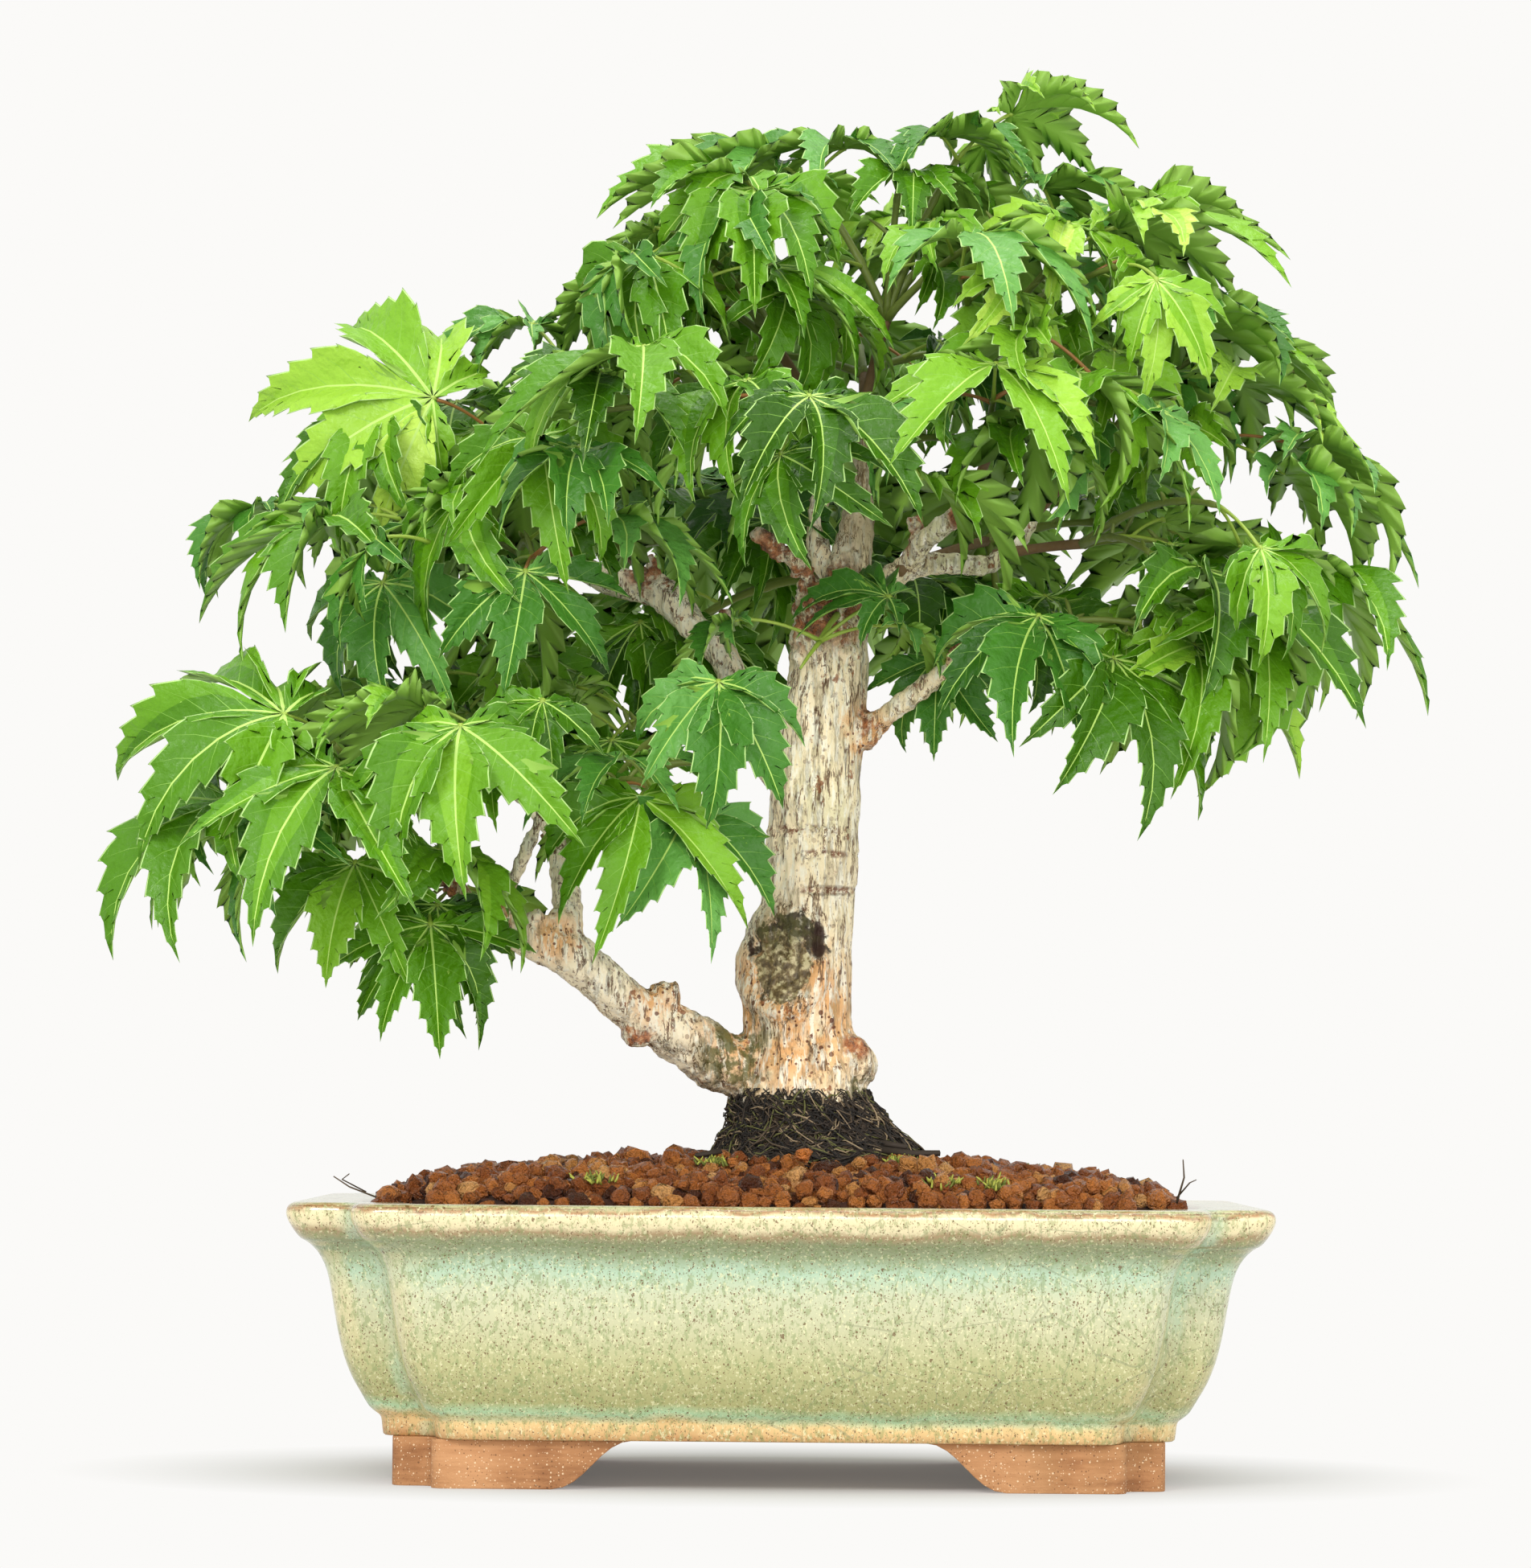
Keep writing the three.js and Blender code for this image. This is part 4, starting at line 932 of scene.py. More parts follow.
def barkRelief(places):
    # how far each point of the wood stands out, in millimetres
    x, y, z = places.T
    relief = wobble(places, 9, 2, 1) * 0.5
    stretched = places * np.array([1, 1, 0.3])
    relief += wobble(stretched, 1.5, 3, 2) * 0.32
    # furrows and burrs round the foot
    foot = 1 - smoothStep(z, 80, 96)
    relief += foot * wobble(places * np.array([1, 1, 0.35]), 3.2, 3, 3)
    # the hollow of the old cut, with its raised lip
    front = y < 0
    across = (x - bark["scar"][0]) / bark["scarSize"][0]
    up = (z - bark["scar"][2]) / bark["scarSize"][1]
    far = np.hypot(across, up)
    relief += np.where(front, -1.3 * np.clip(1 - far ** 2, 0, 1), 0)
    rough = wobble(places, 1.3, 2, 4)
    relief += np.where(front & (far < 1), rough * 0.55, 0)
    lipped = np.exp(-((far - 1.22) / 0.2) ** 2) * (1 - 0.4 * np.clip(up, 0, 1))
    relief += np.where(front, 1.25 * lipped, 0)
    for slotX, slotZ, half in bark["slots"]:
        groove = np.exp(-((x - slotX) / 0.9) ** 2 - ((z - slotZ) / half) ** 4)
        relief -= np.where(front, 1.4 * groove, 0)
    for ringZ, fromX, toX, deep in bark["rings"]:
        ring = np.exp(-((z - ringZ - 0.6 * np.sin(x)) / 0.7) ** 2) * (x > fromX) * (x < toX) * (y < 3)
        relief += ring * (rough * 0.9 - 0.2) * deep * 2
    # corky crown of the stump, and scaly stubs
    corky = smoothStep(z, 160, 166) * (y < 2.5) * (np.hypot(x - 7, y + 3) < 8)
    relief += corky * (wobble(places, 1.7, 2, 5) * 1.1)
    for centre, radius in bark["burrs"]:
        there = np.clip(1.3 - np.linalg.norm(places - centre, axis=1) / radius, 0, 1)
        relief += there * wobble(places, 1.25, 2, 6) * 0.85
    # rings on the thin limbs
    thin = (np.abs(x - 6) > 16) | (z > 186)
    relief += np.where(thin, np.sin((x * 0.8 + z * 0.9 + y * 0.5) * 1.1) ** 6 * 0.22, 0)
    return relief


def barkFinish():
    look = barkLook
    made = Finish("mapleBark", Roughness=0.62, IOR=1.45)
    wide = made.noise(60, 4, 0.6, made.moved((1, 1, 0.4)))
    # painted light and shade: the bark grows paler to the left and darker to the right
    aside = made.axis("X") - (look["paintedLightFrom"] + potMiddle[0] / mm)
    base = made.ramp(wide + aside * 0.008, look["tones"])
    ochre = made.nearAny(look["ochreAt"], 0.45)
    blot = made.noise(150, 4, 0.62)
    base = made.mix(ochre * made.span(blot, 0.32, 0.54) * 0.85, base, look["ochre"])
    light = made.noise(230, 3, 0.6)
    base = made.mix(ochre * made.span(light, 0.52, 0.66) * 0.65, base, look["paleOchre"])
    # dull and pale streaks, then dark cracks that run along the wood, long ones and short ones
    streaks = made.noise(330, 5, 0.72, made.moved((1.5, 1.5, 0.24)))
    base = made.mix(made.span(streaks, 0.55, 0.66) * 0.45, base, look["dull"])
    pale = made.noise(560, 3, 0.65, made.moved((1.5, 1.5, 0.3), (0.5, 0.1, 0.2)))
    base = made.mix(made.span(pale, 0.48, 0.6) * 0.8, base, look["pale"])
    course = made.noise(210, 5, 0.66, made.moved((1.8, 1.8, 0.2), (0.3, 0.6, 0.2)))
    broken = made.span(made.noise(260, 3, 0.6, made.moved((1, 1, 0.5))), 0.46, 0.54)
    crack = made.span((course - 0.5).sum("ABSOLUTE"), 0.03, 0.01) * broken
    base = made.mix(crack * 0.9, base, look["crack"])
    short = made.noise(700, 4, 0.7, made.moved((1.6, 1.6, 0.32), (0.1, 0.2, 0.3)))
    base = made.mix(made.span(short, 0.59, 0.64) * 0.85, base, look["shortCrack"])
    rust = made.noise(300, 4, 0.7, made.moved((1, 1, 0.8), (0.7, 0.1, 0.4)))
    base = made.mix(made.span(rust, 0.61, 0.66) * 0.85, base, look["rust"])
    for size, few in look["dots"]:
        dotty = (made.cells(size) < 0.27) * (made.chosen(size) > few) * (0.4 + ochre * 0.6)
        base = made.mix(dotty * 0.9, base, look["dot"])
    rough = made.noise(420, 4, 0.75)
    lowestRing = made.near(*look["lowestRing"], 0.4)
    rings = made.nearAny(look["ringsAt"], 0.4).sum("MAXIMUM", lowestRing)
    base = made.mix(rings * made.span(rough, 0.45, 0.58) * 0.9, base, look["ring"])
    stubs = made.nearAny([(centre, (radius,) * 3) for centre, radius in look["corkAt"]], 0.3)
    cork = made.near(*look["crownAt"], 0.25).sum("MAXIMUM", stubs)
    patches = made.span(made.noise(260, 3, 0.6), 0.42, 0.54)
    base = made.mix(cork * patches * 0.92, base, made.ramp(rough, look["corkTones"]))
    torn = (made.noise(520, 3, 0.6) - 0.5) * 0.9
    cut = made.near(*look["cutAt"], 0.05, torn)
    # the olive wood of the cut, its palest flecks painted glints
    base = made.mix(cut * 0.95, base, made.ramp(made.noise(620, 3, 0.6), look["cutTonesAndGlints"]))
    above = made.span(made.axis("Z") + rough * 8, *look["archFrom"])
    arch = made.near(*look["archAt"], 0.06, torn) * (1 - cut) * above
    base = made.mix(arch * made.span(rough, 0.28, 0.4) * 0.95, base, look["arch"])
    for spot in look["slotsAt"]:
        base = made.mix(made.near(*spot, 0.15, torn) * 0.95, base, look["slot"])
    moss = made.nearAny(look["mossAt"], 0.5).sum("MAXIMUM", made.near(*look["filmAt"], 0.5) * 0.6)
    base = made.mix(moss * made.span(made.noise(240, 4, 0.7), 0.43, 0.55) * 0.9, base, look["moss"])
    base = made.mix(made.near(*look["youngAt"], 0.3) * 0.55, base, look["young"])
    made.feed("Base Color", base)
    made.feed("Roughness", made.span(blot, 0.3, 0.7, 0.5, 0.78) - cut * 0.3)
    skin = made.span(streaks, 0.72, 0.5) * 0.5 - lowestRing * 0.6 + rough * (0.35 + cork * 1.2) + blot * 0.3
    made.bump(skin, 1.0, 0.0011)
    return made


def makeWood():
    pieces = []
    trunk = spline(trunkSpine, 60)
    pieces.append(extrudeRings("trunk_part", [inFrame(ring) for ring in tubeRings(trunk, 28, upright=True)]))
    for name, spine in limbs.items():
        path = spline(spine, 6 * (len(spine) - 1))
        pieces.append(extrudeRings(name + "_part", [inFrame(ring) for ring in tubeRings(path, 16)]))
    for place, radius, shares in knobs:
        deselect()
        bpy.ops.mesh.primitive_ico_sphere_add(subdivisions=3, radius=radius * mm)
        bpy.ops.transform.resize(value=shares)
        bpy.ops.transform.translate(value=tuple(inFrame(place)[0]))
        bpy.ops.object.transform_apply(location=True, scale=True)
        pieces.append(bpy.context.object)
    wood = joinAll(pieces, "trunk_and_boughs")
    applyModifier(wood, "REMESH", mode="VOXEL", voxel_size=bark["voxel"] * mm, adaptivity=0.0)
    applyModifier(wood, "SMOOTH", factor=0.6, iterations=7)
    places = placesOf(wood)
    relief = barkRelief((places - potMiddle) / mm)
    relief *= smoothStep(places[:, 2] / mm, *bark["footFades"])
    setPlaces(wood, places + normalsOf(wood) * (relief * mm)[:, None])
    only(wood)
    bpy.ops.object.shade_smooth()
    paint(wood, barkFinish())
    ready(wood, "bark", *bark["nodes"])
    print("wood:", len(wood.data.polygons), "faces")


makeWood()

# The root ball
roots = {
    # middle in x, height, half length and half depth, from below upwards
    "rings": [
        [7.2, 61, 22.6, 18.8], [7.4, 64, 21.4, 18], [7.2, 66.5, 19.2, 16.6], [6.2, 68.6, 17.4, 15.6],
        [6.0, 70.5, 15.6, 14.6], [5.2, 72.6, 14.8, 14], [4.5, 74.4, 14.1, 13.5], [3.9, 75.4, 13.2, 12.6]],
    "ringPoints": 64,
    "peatTones": [(0.38, rgb(22, 18, 15)), (0.52, rgb(58, 46, 36)), (0.68, rgb(124, 102, 74))],
    "fibres": 2300,
    "start": (62, 76.4),  # height of a fibre's middle
    "limits": (62.0, 77.6),
    "length": (0.1, 0.4),  # as an angle round the ball
    "slope": 3.4,
    "proud": (0.2, 1.5),
    "thick": (0.1, 0.2),
    "colours": [(34, 28, 23), (54, 44, 35), (84, 70, 54), (20, 17, 15), (98, 98, 52), (148, 128, 100)],
    "shares": [0.3, 0.27, 0.15, 0.12, 0.1, 0.06],
    # root ends that lie out over the soil: x, y, z, radius
    "ends": (
        [[20, -14, 65.5, 0.9], [26, -17, 64.9, 0.75], [31.5, -18.5, 65.1, 0.6]],
        [[-12, -14, 65, 0.7], [-17, -17, 64.2, 0.5]],
        [[19, -12, 67, 0.8], [25, -15, 66.2, 0.6]]),
    # dry bits at the rim of the pot
    "bits": (
        [[-78, -52, 56, 0.22], [-83, -55, 58, 0.2], [-86, -56, 60, 0.16]],
        [[-80, -52, 57, 0.2], [-84.5, -54, 59.4, 0.16], [-83, -56, 60.5, 0.12]],
        [[77, -40, 56, 0.25], [78.3, -42, 61, 0.18], [78, -43, 64.5, 0.12]],
        [[77, -40, 57, 0.2], [79.4, -42, 60, 0.16], [80.6, -43, 60.6, 0.12]]),
    # tufts of moss between the grains
    "mossAt": ((-36, -45), (31, -45), (41, -45), (-13, -24), (24, -20), (-44, 30), (52, 26)),
    "mossBlades": 40,
    "mossTones": {"mossDark": (104, 112, 38), "mossLight": (168, 172, 70)},
}


def tubes(paths, sides):
    # places and faces of many closed tubes, each from its rings
    places, faces, owners = [], [], []
    offset = 0
    for owner, path in enumerate(paths):
        rings = tubeRings(path, sides)
        for level in range(len(rings) - 1):
            for i in range(sides):
                j = (i + 1) % sides
                low, high = offset + level * sides, offset + (level + 1) * sides
                faces.append((low + i, low + j, high + j, high + i))
                owners.append(owner)
        top = offset + (len(rings) - 1) * sides
        faces.append(tuple(offset + i for i in reversed(range(sides))))
        faces.append(tuple(top + i for i in range(sides)))
        owners += [owner, owner]
        places.append(np.vstack(rings))
        offset += sides * len(rings)
    return np.vstack(places), faces, owners


def makePeat():
    rings = []
    count = roots["ringPoints"]
    turns = 2 * np.pi * np.arange(count) / count
    for x, height, halfLength, halfDepth in roots["rings"]:
        ring = np.c_[x + halfLength * np.cos(turns), halfDepth * np.sin(turns), np.full(count, height)]
        rings.append(inFrame(ring))
    ball = extrudeRings("root_ball_peat", rings)
    applyModifier(ball, "SUBSURF", levels=1, render_levels=1, subdivision_type="SIMPLE")
    places = placesOf(ball)
    inPlace = (places - potMiddle) / mm
    lumps = wobble(inPlace * np.array([1, 1, 1.5]), 3.4, 3, 8) * 1.5 * smoothStep(inPlace[:, 2], 61.5, 64)
    setPlaces(ball, places + normalsOf(ball) * (lumps * mm)[:, None])
    peat = Finish("peat", Roughness=0.95)
    peat.feed("Base Color", peat.ramp(peat.noise(420, 4, 0.7), roots["peatTones"]))
    peat.bump(peat.noise(800, 4, 0.7), 1.0, 0.001)
    paint(ball, peat)
    only(ball)
    bpy.ops.object.shade_smooth()
    ready(ball, "root_peat", "root_ball")


def fibrePath(rng):
    # a fibre that lies on the ball, in five points
    table = np.array(roots["rings"])
    low, high = roots["limits"]
    height = rng.uniform(*roots["start"])
    turn = rng.uniform(0, 2 * math.pi)
    length = rng.uniform(*roots["length"])
    slope = rng.gauss(0, roots["slope"])
    proud = rng.uniform(*roots["proud"])
    path = []
    for step in range(5):
        share = step / 4
        z = min(high, max(low, height + slope * (share - 0.5) + rng.uniform(-0.7, 0.7)))
        x, halfLength, halfDepth = (np.interp(z, table[:, 1], table[:, k]) for k in (0, 2, 3))
        angle = turn + length * (share - 0.5)
        out = proud * math.sin(math.pi * (0.15 + 0.7 * share)) + rng.uniform(-0.3, 0.3)
        out += 0.9 * noise.noise(Vector((angle * 3, z / 3, 1.7)))
        across, deep = (halfLength + out) * math.cos(angle), (halfDepth + out) * math.sin(angle)
        path.append([x + across, deep, z, rng.uniform(*roots["thick"])])
    return path


def mossBlade(centreX, centreY, rng):
    x, y = centreX + rng.gauss(0, 1.5), centreY + rng.gauss(0, 1.5)
    z = float(soilHeight(x, y)) + 0.6
    leanX, leanY = rng.gauss(0, 0.8), rng.gauss(0, 0.8)
    return [[x, y, z, 0.26], [x + 0.5 * leanX, y + 0.5 * leanY, z + 0.6, 0.24],
            [x + leanX, y + leanY, z + rng.uniform(0.9, 1.7), 0.1]]


def makeRoots():
    rng = random.Random(5)
    paths, colours = [], []
    kinds = range(len(roots["colours"]))
    for _ in range(roots["fibres"]):
        paths.append(fibrePath(rng))
        colours.append(rng.choices(kinds, roots["shares"])[0])
    for name, colour in (("ends", 1), ("bits", 2)):
        paths += roots[name]
        colours += [colour] * len(roots[name])
    for centreX, centreY in roots["mossAt"]:
        for _ in range(roots["mossBlades"]):
            paths.append(mossBlade(centreX, centreY, rng))
            colours.append(len(kinds) + rng.randrange(2))
    looks = [(f"rootFibre{i}", colour, 0.8) for i, colour in enumerate(roots["colours"])]
    looks += [(name, colour, 0.7) for name, colour in roots["mossTones"].items()]
    finishes = [Finish(name, Base_Color=rgb(*colour), Roughness=rough) for name, colour, rough in looks]
    places, faces, owners = tubes(paths, 4)
    fibres = meshFrom("root_fibres", inFrame(places), faces, finishes, [colours[owner] for owner in owners])
    ready(fibres, "root_peat")
    print("roots:", len(paths), "fibres")


makePeat()
makeRoots()

# The foliage
# each mass: its root on a limb, its fork, the ends of its shoots, the length of its lobes, its tone from
# 0 (dark) to 4 (bright), and the leaves whose place is known: x, y, z, heading, pitch, roll, length
# a mass's tone is partly its leaves' own green and partly painted light and shade: masses at the back and
# beneath are darker, the sunlit ones brighter
masses = {
    "apex_foliage": dict(
        root=(15.4, 3, 216), fork=(20, 1, 234), reach=26, tone=2.6,
        shoots=[(34, -3, 266), (22, -6, 259), (4, 6, 262), (36, 26, 256), (44, -16, 250)],
        leaves=[(45, 0, 276, 0, -15, -30, 24), (25, -12, 262, -100, 10, 0, 21), (31, -8, 270, -50, 2, 0, 25),
                (11, 2, 269, -120, 0, 0, 25), (-2, 6, 266, 182, -12, 6, 31)]),
    "upper_left_foliage": dict(
        root=(9.3, 9, 210.7), fork=(-2, 4, 228), reach=31, tone=2.0,
        shoots=[(-4, -12, 250), (-18, -36, 236), (-22, 2, 240), (-14, 24, 250), (-20, -22, 246)],
        leaves=[(-9, -20, 259, 178, -4, 0, 32), (-7, -27, 256, -95, 30, 0, 31)]),
    "upper_right_foliage": dict(
        root=(15.6, 4, 206), fork=(38, 2, 224), reach=31, tone=3.0,
        shoots=[(56, -8, 246), (78, 6, 240), (34, -32, 238), (62, 28, 248), (66, -36, 240)],
        leaves=[(66, -14, 251, -20, -4, -15, 34), (70, 8, 256, 20, -8, -20, 30),
                (52, 4, 262, -20, -2, -10, 26), (35, -44, 244, -52, 4, 0, 35)]),
    "front_right_foliage": dict(
        root=(36.5, -8, 194), fork=(40, -24, 204), reach=32, tone=2.6,
        shoots=[(40, -48, 212), (60, -46, 216), (20, -50, 202)],
        leaves=[(40, -62, 217, -76, 26, 0, 34)]),
    "front_left_foliage": dict(
        root=(14.6, 4, 196), fork=(0, -18, 206), reach=31, tone=1.8,
        shoots=[(-18, -42, 216), (2, -46, 210), (-36, -40, 210)],
        leaves=[(-28, -60, 220, -132, 20, 0, 34), (4, -66, 210, -76, 35, 0, 30)]),
    "left_shoulder_foliage": dict(
        root=(-43.5, 30, 186.1), fork=(-54, 14, 200), reach=33, tone=2.4,
        shoots=[(-58, -6, 208), (-50, -30, 202), (-84, 2, 208), (-66, 26, 214), (-44, -4, 222)],
        leaves=[(-71, -16, 215, 180, -20, -62, 37), (-48, -46, 204, -84, 48, 0, 29)],
        more=[(-52, 0, 232, 160, -10, -10, 26), (-80, -12, 213, 190, 24, -20, 33)]),
    "left_shelf_foliage": dict(
        root=(-38.5, 28.4, 183.4), fork=(-54, 2, 186), reach=31, tone=1.8,
        shoots=[(-76, -20, 190), (-50, -30, 182), (-94, 2, 192), (-70, -38, 184)],
        leaves=[(-90, -24, 190, -150, 26, 0, 33), (-51, -42, 178, -84, 54, 0, 27),
                (-80, -24, 177, -112, 52, 0, 29), (-106, 2, 195, 180, 24, 0, 26)]),
    "right_shoulder_foliage": dict(
        root=(50.4, 10, 194.9), fork=(62, 4, 206), reach=33, tone=2.6,
        shoots=[(66, -2, 224), (85, 0, 210), (76, -36, 214), (84, 10, 228)],
        leaves=[(80, -6, 233, -20, 4, -15, 36), (103, -6, 208, -15, 22, -15, 33)],
        more=[(90, -4, 222, -10, 16, -15, 33), (100, -12, 202, -8, 14, -10, 32)]),
    "right_shelf_foliage": dict(
        root=(44.6, 10, 187), fork=(60, -4, 188), reach=35, tone=2.2,
        shoots=[(90, -10, 184), (72, -28, 184), (84, 18, 188), (84, -44, 192)],
        leaves=[(102, -12, 184, -8, 26, -8, 42), (82, -36, 180, -35, 28, 0, 39)],
        more=[(92, -24, 176, -30, 50, 0, 36)]),
    "right_low_foliage": dict(
        root=(39, -16, 167.5), fork=(46, -20, 168), reach=33, tone=2.0,
        shoots=[(54, -32, 164), (70, -26, 170), (58, -4, 162), (78, -14, 164)],
        leaves=[(64, -40, 162, -42, 50, 0, 37), (48, -22, 169, -70, 60, 0, 18),
                (81, -24, 166, -40, 46, 0, 34)],
        more=[(31, -2, 165, -104, 60, 0, 21)]),
    "low_left_outer_foliage": dict(
        root=(-69.8, -30, 122.4), fork=(-82, -32, 132), reach=33, tone=2.0,
        shoots=[(-88, -42, 144), (-94, -38, 130), (-102, -24, 150), (-103, -16, 130), (-78, -48, 136)],
        leaves=[(-97, -52, 149, 178, -8, -40, 40), (-106, -44, 133, -172, 14, -10, 38),
                (-96, -50, 131, -150, 52, 0, 28)]),
    "low_left_front_foliage": dict(
        root=(-47.8, -28, 131.7), fork=(-49, -38, 140), reach=31, tone=1.9,
        shoots=[(-56, -54, 144), (-40, -52, 148), (-46, -52, 134)],
        leaves=[(-62, -68, 146, -96, 38, 0, 34)]),
    "low_left_inner_foliage": dict(
        root=(-46.4, -12, 128.1), fork=(-34, -16, 138), reach=29, tone=2.0,
        shoots=[(-18, -38, 150), (-26, -32, 136), (-30, 4, 152), (-14, -20, 142)],
        leaves=[(-13, -52, 156, -92, 46, 0, 30), (-28, -44, 134, -84, 44, 0, 30),
                (-19, -38, 132, -56, 46, 0, 28)]),
    "low_left_under_foliage": dict(
        root=(-62.4, -24, 113.6), fork=(-68, -20, 111), reach=29, tone=1.8,
        shoots=[(-70, -26, 112), (-80, -26, 120), (-78, -4, 118)],
        leaves=[(-69, -38, 109, -80, 58, 0, 27), (-84, -36, 121, -104, 56, 0, 27)],
        more=[(-68, -32, 113, -82, 58, 0, 27)]),
    "back_low_left_foliage": dict(
        root=(-54.7, -8, 137.1), fork=(-60, 4, 146), reach=31, tone=1.4,
        shoots=[(-58, 14, 160), (-90, 18, 160), (-48, 42, 162), (-66, 36, 154)],
        leaves=[(-56, 24, 167, -92, 30, 0, 30)]),
    "back_left_foliage": dict(
        root=(-25.9, 26, 180.1), fork=(-34, 44, 190), reach=33, tone=1.2,
        shoots=[(-56, 56, 198), (-36, 70, 206), (-72, 44, 190), (-18, 62, 192)],
        leaves=[(-22, 50, 204, -70, 14, 0, 30)]),
    "back_centre_foliage": dict(
        root=(9.6, 1, 166), fork=(6, 34, 184), reach=33, tone=1.0,
        shoots=[(2, 62, 200), (22, 56, 182), (-18, 52, 176), (-30, 46, 168), (-4, 34, 196)],
        leaves=[(-22, 34, 174, -100, 40, 0, 32), (26, 38, 186, -80, 30, 0, 30)]),
    "back_right_foliage": dict(
        root=(25, 6, 183.7), fork=(42, 34, 192), reach=33, tone=1.3,
        shoots=[(60, 54, 202), (84, 42, 194), (38, 64, 188), (46, 42, 172)],
        leaves=[(54, 30, 180, -60, 30, 0, 30)]),
    "back_top_foliage": dict(
        root=(15.5, 4.4, 208), fork=(16, 30, 226), reach=32, tone=1.6,
        shoots=[(14, 54, 238), (42, 50, 232), (-14, 50, 230)], leaves=[]),
}
# a green sprig before the stump
sprig = dict(root=(10.5, -7, 173), fork=(7, -12.5, 167.2), tone=2.4, shoots=[(7, -12.5, 167.2)],
             leaves=[(20.5, -15, 176, 168, -12, -35, 19), (-10, -17, 171, 190, 30, 0, 18),
                     (23, -16, 170, 5, 30, 0, 18)])
# where the photograph shows sky beside the crown and in it: x, z, half width and half height
skies = [
    (-58, 262, 26, 13), (-34, 262, 19, 10), (-52, 242, 9, 7), (-36, 272, 20, 8), (-122, 206, 20, 13),
    (-97, 172, 8, 14), (-112, 165, 13, 7), (-140, 125, 9, 12), (-103, 109, 8, 9), (-118, 104, 14, 9),
    (-92, 97, 7, 10), (60, 136, 30, 9), (44, 147, 14, 9), (96, 148, 12, 8), (122, 164, 10, 14),
    (92, 198, 6, 9), (106, 240, 8, 14), (100, 264, 20, 10), (62, 272, 12, 7), (24, 236, 5, 6),
    (24, 197, 4, 6), (61, 184, 4, 5), (-28, 166, 5, 5), (-5, 143, 5, 11), (-20, 112, 9, 7), (31, 159, 9, 6),
    (38, 152, 6, 5), (117, 173, 5, 12), (-132, 136, 7, 12), (92, 256, 10, 6), (60, 186, 6, 6),
    (-103, 111, 6, 7), (-16, 152, 4, 8),
]
# the leaves round the end of each shoot; angles in degrees
whorl = {
    "turns": [0, -60, 60, -116, 116],
    "follow": 0.6,  # how far the leaves follow the shoot, rather than look away from the axis
    "axis": (12, 4),
    "jitter": (-16, 16),
    "stalk": (11, 19),
    "climb": (4, 34),
    "pitch": (10, 38),
    "roll": (-20, 20),
    "droop": (35, 72),
    "size": (0.84, 1.14),
    # the leaves whose place is known
    "placedDroop": 58,
    "placedSize": 1.08,
    # nearest that the marks of two leaves may come, for inner leaves a share of it, and a leaf to the wood
    "gap": 3.7,
    "innerGap": 0.8,
    "offWood": 0.6,
}
# smaller leaves: some hang out to the side below the end of a shoot, others stand on side twigs along it
innerLeaf = {
    "tip": {"stalk": (8, 18), "climb": (-40, 25), "size": (0.62, 0.98), "pitch": (15, 60)},
    "tipCount": 4,
    "tipTurn": (-80, 80),
    "side": {"stalk": (7, 15), "climb": (-15, 40), "size": (0.58, 0.85), "pitch": (10, 50)},
    "sideTurn": (35, 100),
    "sideShares": (0.3, 0.55, 0.8),  # places along a shoot
    "shortShares": (0.6,),
    "shortUnder": 24,
    "bow": 0.08,
    "roll": (-25, 25),
    "droop": (38, 76),
}
leafForm = {
    # angle, length, half width and teeth of each lobe; lengths are shares of the longest
    "lobes": [(-120, 0.42, 0.1, 4), (-80, 0.76, 0.158, 6), (-40, 0.99, 0.196, 8), (0, 1.06, 0.206, 8),
              (40, 0.99, 0.196, 8), (80, 0.76, 0.158, 6), (120, 0.42, 0.1, 4)],
    "startSlope": -10,
    "widest": 0.4,
    "waist": 0.15,  # width at the base of a lobe, as a share of its widest
    "taper": 1.22,
    "sinus": 0.1,  # where neighbouring lobes part
    "toothless": 0.12,
    "firstTooth": 0.24,
    # along each tooth: place between its vein and the next, out, forward, and how far in the pale margin lies
    "tooth": [(0.0, 0.046, 0.054, 0.011), (0.2, -0.05, 0.0, 0.006), (0.46, 0.008, -0.004, 0.008),
              (0.76, 0.024, 0.012, 0.009)],
    "toothFades": 0.1,  # half width under which teeth grow smaller
    "vein": 0.0024,
    "rib": 0.008,
    "pucker": 0.015,
    "thickness": 0.014,
    "tones": [(45, 87, 2), (58, 106, 3), (75, 128, 8), (95, 149, 20), (118, 170, 36), (146, 192, 56),
              (176, 211, 80)],
    # bluer greens that some leaves have
    "cool": [(43, 91, 14), (64, 120, 34), (94, 152, 64)],
    "coolShare": 0.3,
    "lobeSpread": 0.5,
    "midrib": (178, 212, 104),
    "sideVein": (128, 176, 66),
    "edge": (172, 210, 124),
    "underside": (134, 178, 66),
}
# how leaves and their lobes differ from one another; angles in degrees
leafChange = {
    "spread": (0.78, 1.02),
    "turn": (-11, 11),
    "length": (0.86, 1.14),
    "droop": (-14, 34),
    "fold": (0.2, 0.95),
    "sickle": (-0.2, 0.2),
    "twist": (-44, 44),
    "wave": (0.014, 0.04),
    "phase": (0, 6.3),
    "slim": (0.66, 0.98),
}


